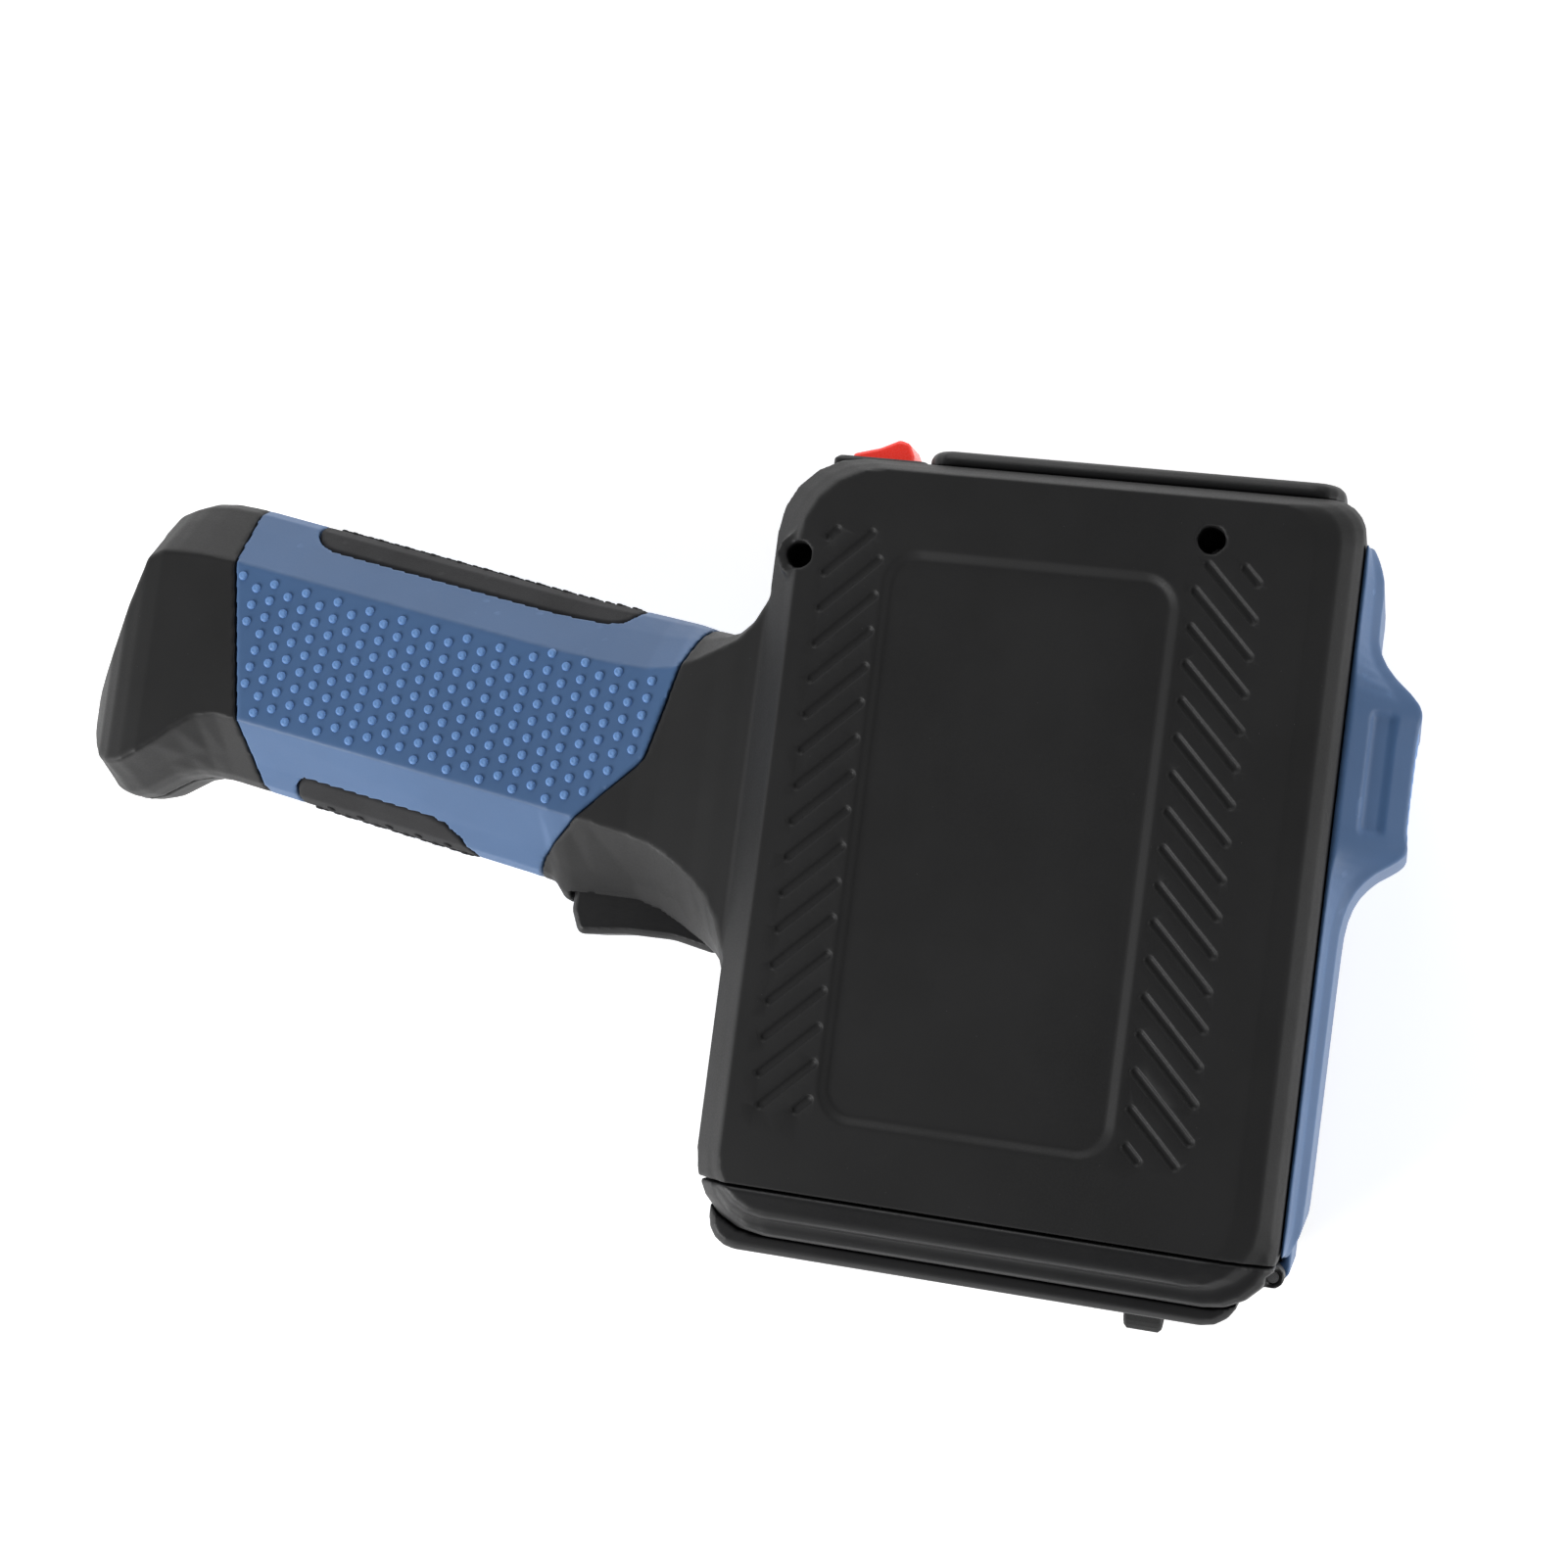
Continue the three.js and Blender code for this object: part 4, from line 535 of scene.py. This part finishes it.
def band_studs(node, aim_y, pitch_x, pitch_z, radius, height, evenness, reach):
    """Dots over a rubber insert, which faces up or down in Y, to reach on each side of its middle."""
    low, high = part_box(node)
    middle = (low + high) / 2

    def build(piece):
        seats = []
        outside = high.y + CLEAR if aim_y < 0 else low.y - CLEAR
        columns = int((high.x - low.x) / pitch_x / 2) + 1
        rows = int((high.z - low.z) / pitch_z / 2) + 1
        for column in range(-columns, columns + 1):
            for row in range(-rows, rows + 1):
                across = (row + 0.5 * (column % 2)) * pitch_z
                if abs(across) <= reach:
                    seats.append(Vector((middle.x + column * pitch_x, outside, middle.z + across)))
        return studs(piece, seats, (0, aim_y, 0), radius, height, evenness)
    return build


# ---------------------------------------------------------------- evening of the case
NECK_START = SLEEVE_HIGH.x - 25 * MM
NECK_END = 22 * MM
BUTT_FRONT = SLEEVE_LOW.x + 12 * MM
BUTT_SEAM = SLEEVE_LOW.x + 1 * MM
LEAST_WEIGHT = 0.35
BUTT_ROUNDS = 30


def neck_weight(points):
    """More evening where the grip flows into the head and at the butt, so that facets run together."""
    x = points[:, 0]
    flow = np.clip((x - NECK_START) / (20 * MM), 0, 1) * np.clip((NECK_END - x) / (6 * MM), 0, 1)
    butt = np.clip((BUTT_FRONT - x) / (10 * MM), 0, 1)
    return LEAST_WEIGHT + (1 - LEAST_WEIGHT) * np.maximum(flow, butt)


def butt_weight(points):
    """Evening of the rounded butt alone, clear of the cover's edge."""
    return np.clip((BUTT_SEAM - points[:, 0]) / (6 * MM), 0, 1)


# ---------------------------------------------------------------- engraved sides
GROOVE_DEPTH = 0.5 * MM
GROOVE_RADIUS = 0.95 * MM
GROOVE_SLOPE = 0.5 * MM
LABEL_DEPTH = 0.8 * MM
LABEL_SLOPE = 2.1 * MM
LABEL_CORNER = 6.5 * MM
FLAT = 0.03 * MM                             # faces this near to a level lie in it
JOIN = 0.02 * MM                             # corners this near to each other are one
GROOVE_LONGEST = 30 * MM                     # a longer floor is the label recess
NEAR_FACE = 0.4 * MM                         # what belongs to the side face after smoothing


def floor_faces(mesh, level, points):
    """Corner lists of the flat faces that lie at one height."""
    for face in mesh.polygons:
        corners = points[list(face.vertices)]
        if np.all(np.abs(corners[:, 2] - level) < FLAT):
            yield corners


def groove_axes(mesh, level):
    """The end points of each groove's centre line, read from the floors of the CAD grooves."""
    islands = []
    for corners in floor_faces(mesh, level, points_of(mesh)):
        keys = {tuple(np.round(corner / JOIN).astype(int)) for corner in corners[:, :2]}
        touching = [island for island in islands if island & keys]
        for island in touching:
            islands.remove(island)
            keys |= island
        islands.append(keys)
    axes = []
    for island in islands:
        spots = np.array(sorted(island)) * JOIN
        spread = np.linalg.norm(spots[:, None] - spots[None], axis=2)
        first, second = (spots[i] for i in np.unravel_index(spread.argmax(), spread.shape))
        length = np.linalg.norm(second - first)
        if length < GROOVE_LONGEST:
            aim = (second - first) / length
            axes.append((first + aim * GROOVE_RADIUS, second - aim * GROOVE_RADIUS))
    return axes


def ramp(distance, start, end):
    """0 up to start, rising softly to 1 at end."""
    share = np.clip((distance - start) / (end - start), 0, 1)
    return share * share * (3 - 2 * share)


def from_axis(spots, first, second):
    """Distance of each spot from the line between two points."""
    along = second - first
    share = np.clip((spots - first) @ along / max(along @ along, 1e-12), 0, 1)
    return np.linalg.norm(spots - first - share[:, None] * along, axis=1)


def groove_depth(spots, axes):
    depth = np.zeros(len(spots))
    for first, second in axes:
        rise = ramp(from_axis(spots, first, second), GROOVE_RADIUS - GROOVE_SLOPE, GROOVE_RADIUS)
        depth = np.maximum(depth, GROOVE_DEPTH * (1 - rise))
    return depth


def label_depth(spots, low, high):
    """Depth of the rounded label recess, whose floor runs from low to high."""
    middle, half = (low + high) / 2, (high - low) / 2
    corner = LABEL_CORNER - LABEL_SLOPE
    beyond = np.abs(spots - middle) - (half - corner)
    away = np.linalg.norm(np.maximum(beyond, 0), axis=1) + np.minimum(beyond.max(axis=1), 0) - corner
    return LABEL_DEPTH * (1 - ramp(away, 0, LABEL_SLOPE))


def engrave(name, node, level, up):
    """A case half: its side face is smoothed flat, then the recess and grooves are pressed in cleanly."""
    cad = NODES[node].data
    axes = groove_axes(cad, level - up * GROOVE_DEPTH)
    ends = np.array(axes).reshape(-1, 2)
    zone_low, zone_high = ends.min(0) - 2 * MM, ends.max(0) + 2 * MM
    floors = np.vstack(list(floor_faces(cad, level - up * LABEL_DEPTH, points_of(cad))))[:, :2]
    in_head = floors[:, 0] > (CASE_LOW.x + CASE_HIGH.x) / 2
    inner = floors[in_head & np.all((floors > zone_low) & (floors < zone_high), axis=1)]
    label = inner.min(0), inner.max(0)

    def level_off(mesh):
        points = points_of(mesh)
        inside = np.all((points[:, :2] > zone_low) & (points[:, :2] < zone_high), axis=1)
        points[inside & (np.abs(points[:, 2] - level) < 1.2 * MM), 2] = level
        set_points(mesh, points)

    def press(piece):
        relax(piece.data, BUTT_ROUNDS, butt_weight)
        refine(piece.data)
        points = points_of(piece.data)
        flat = np.abs(points[:, 2] - level) < NEAR_FACE
        drop = groove_depth(points[:, :2], axes) + label_depth(points[:, :2], *label)
        points[flat, 2] = points[flat, 2] - up * drop[flat]
        set_points(piece.data, points)

    def refine(mesh):
        """Splits the edges of the side face near the grooves and on the recess's slope."""
        work = bmesh.new()
        work.from_mesh(mesh)
        near, spots = [], []
        for edge in work.edges:
            spot = (edge.verts[0].co + edge.verts[1].co) / 2
            if abs(spot.z - level) < NEAR_FACE:
                near.append(edge)
                spots.append(spot[:2])
        spots = np.array(spots)
        touch = np.zeros(len(spots), bool)
        for first, second in axes:
            touch |= from_axis(spots, first, second) < GROOVE_RADIUS + 0.8 * MM
        slope = label_depth(spots, *label)
        touch |= (slope > 0.0) & (slope < LABEL_DEPTH * 0.999)
        chosen = [edge for edge, hit in zip(near, touch) if hit]
        bmesh.ops.subdivide_edges(work, edges=chosen, cuts=1, use_grid_fill=True)
        work.to_mesh(mesh)
        work.free()

    moulding(name, node, 0.5, rounds=5, weight=neck_weight, limit=190000, before=level_off, after=press)


# ---------------------------------------------------------------- pieces
def make_case():
    engrave("right_case_moulding", "right_shell", CASE_HIGH.z, 1)
    engrave("left_case_moulding", "left_shell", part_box("left_shell")[0].z, -1)
    moulding("front_cap_moulding", "front_cap", 0.45, rounds=3, limit=150000)
    moulding("guide_frame_moulding", "guide_frame", 0.45, rounds=3)


def make_grip():
    above = CASE_HIGH.z + CLEAR
    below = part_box("left_shell")[0].z - CLEAR
    moulding("grip_cover_right", "grip_sleeve_right", 0.42, rounds=5, dots=sleeve_studs(above, -1))
    moulding("grip_cover_left", "grip_sleeve_left", 0.42, rounds=5, dots=sleeve_studs(below, 1))
    rear_dots = band_studs("rear_grip_insert", -1, pitch_x=2.7 * MM, pitch_z=2.6 * MM, radius=0.65 * MM,
                           height=0.4 * MM, evenness=0.35 * MM, reach=5.5 * MM)
    moulding("rear_insert_rubber", "rear_grip_insert", 0.4, rounds=4, dots=rear_dots)
    front_dots = band_studs("front_grip_insert", 1, pitch_x=3.0 * MM, pitch_z=3.2 * MM, radius=0.85 * MM,
                            height=0.4 * MM, evenness=0.5 * MM, reach=6.5 * MM)
    moulding("front_insert_rubber", "front_grip_insert", 0.4, rounds=4, dots=front_dots)
    moulding("trigger_moulding", "trigger", 0.3, rounds=6)


CROWN_MIDDLE = 37.8 * MM                     # from the cover's upper edge to the middle row of its dots
CROWN_ROW = 2.4 * MM
CROWN_COLUMN = 3.0 * MM


def make_cover():
    low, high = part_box("cartridge_cover")

    def crown_dots(piece):
        seats = []
        for row in range(-5, 6):
            for column in range(-6, 7):
                across = (column + 0.5 * (row % 2)) * CROWN_COLUMN
                seats.append(Vector((high.x + CLEAR, high.y - CROWN_MIDDLE + row * CROWN_ROW,
                                     (low.z + high.z) / 2 + across)))
        return studs(piece, seats, (-1, 0, 0), radius=0.7 * MM, height=0.15 * MM, evenness=0.15 * MM)

    moulding("cartridge_cover_moulding", "cartridge_cover", 0.42, rounds=14, dots=crown_dots)


def make_top():
    moulding("screen_bezel_moulding", "screen_bezel", 0.4, rounds=3)
    moulding("rocker_frame_moulding", "rocker_switch_body", 0.28, rounds=2)
    moulding("rocker_cap", "rocker_button", 0.22, rounds=4)


def dress_rest():
    """The CAD nodes that stay get softened edges and their finish."""
    for node, piece in NODES.items():
        if piece.hide_render:
            continue
        bevel = piece.modifiers.new("Bevel", "BEVEL")
        bevel.width = 0.18 * MM
        bevel.segments = 2
        bevel.limit_method = "ANGLE"
        bevel.angle_limit = math.radians(40)
        finish = FINISHES[SLOTS[node]]
        if not piece.data.materials:
            piece.data.materials.append(finish)
        for slot in piece.material_slots:
            slot.material = finish


make_camera()
make_world()
make_floor()
make_lights()
SCENE.view_settings.view_transform = "Standard"

make_case()
make_grip()
make_cover()
make_top()
dress_rest()
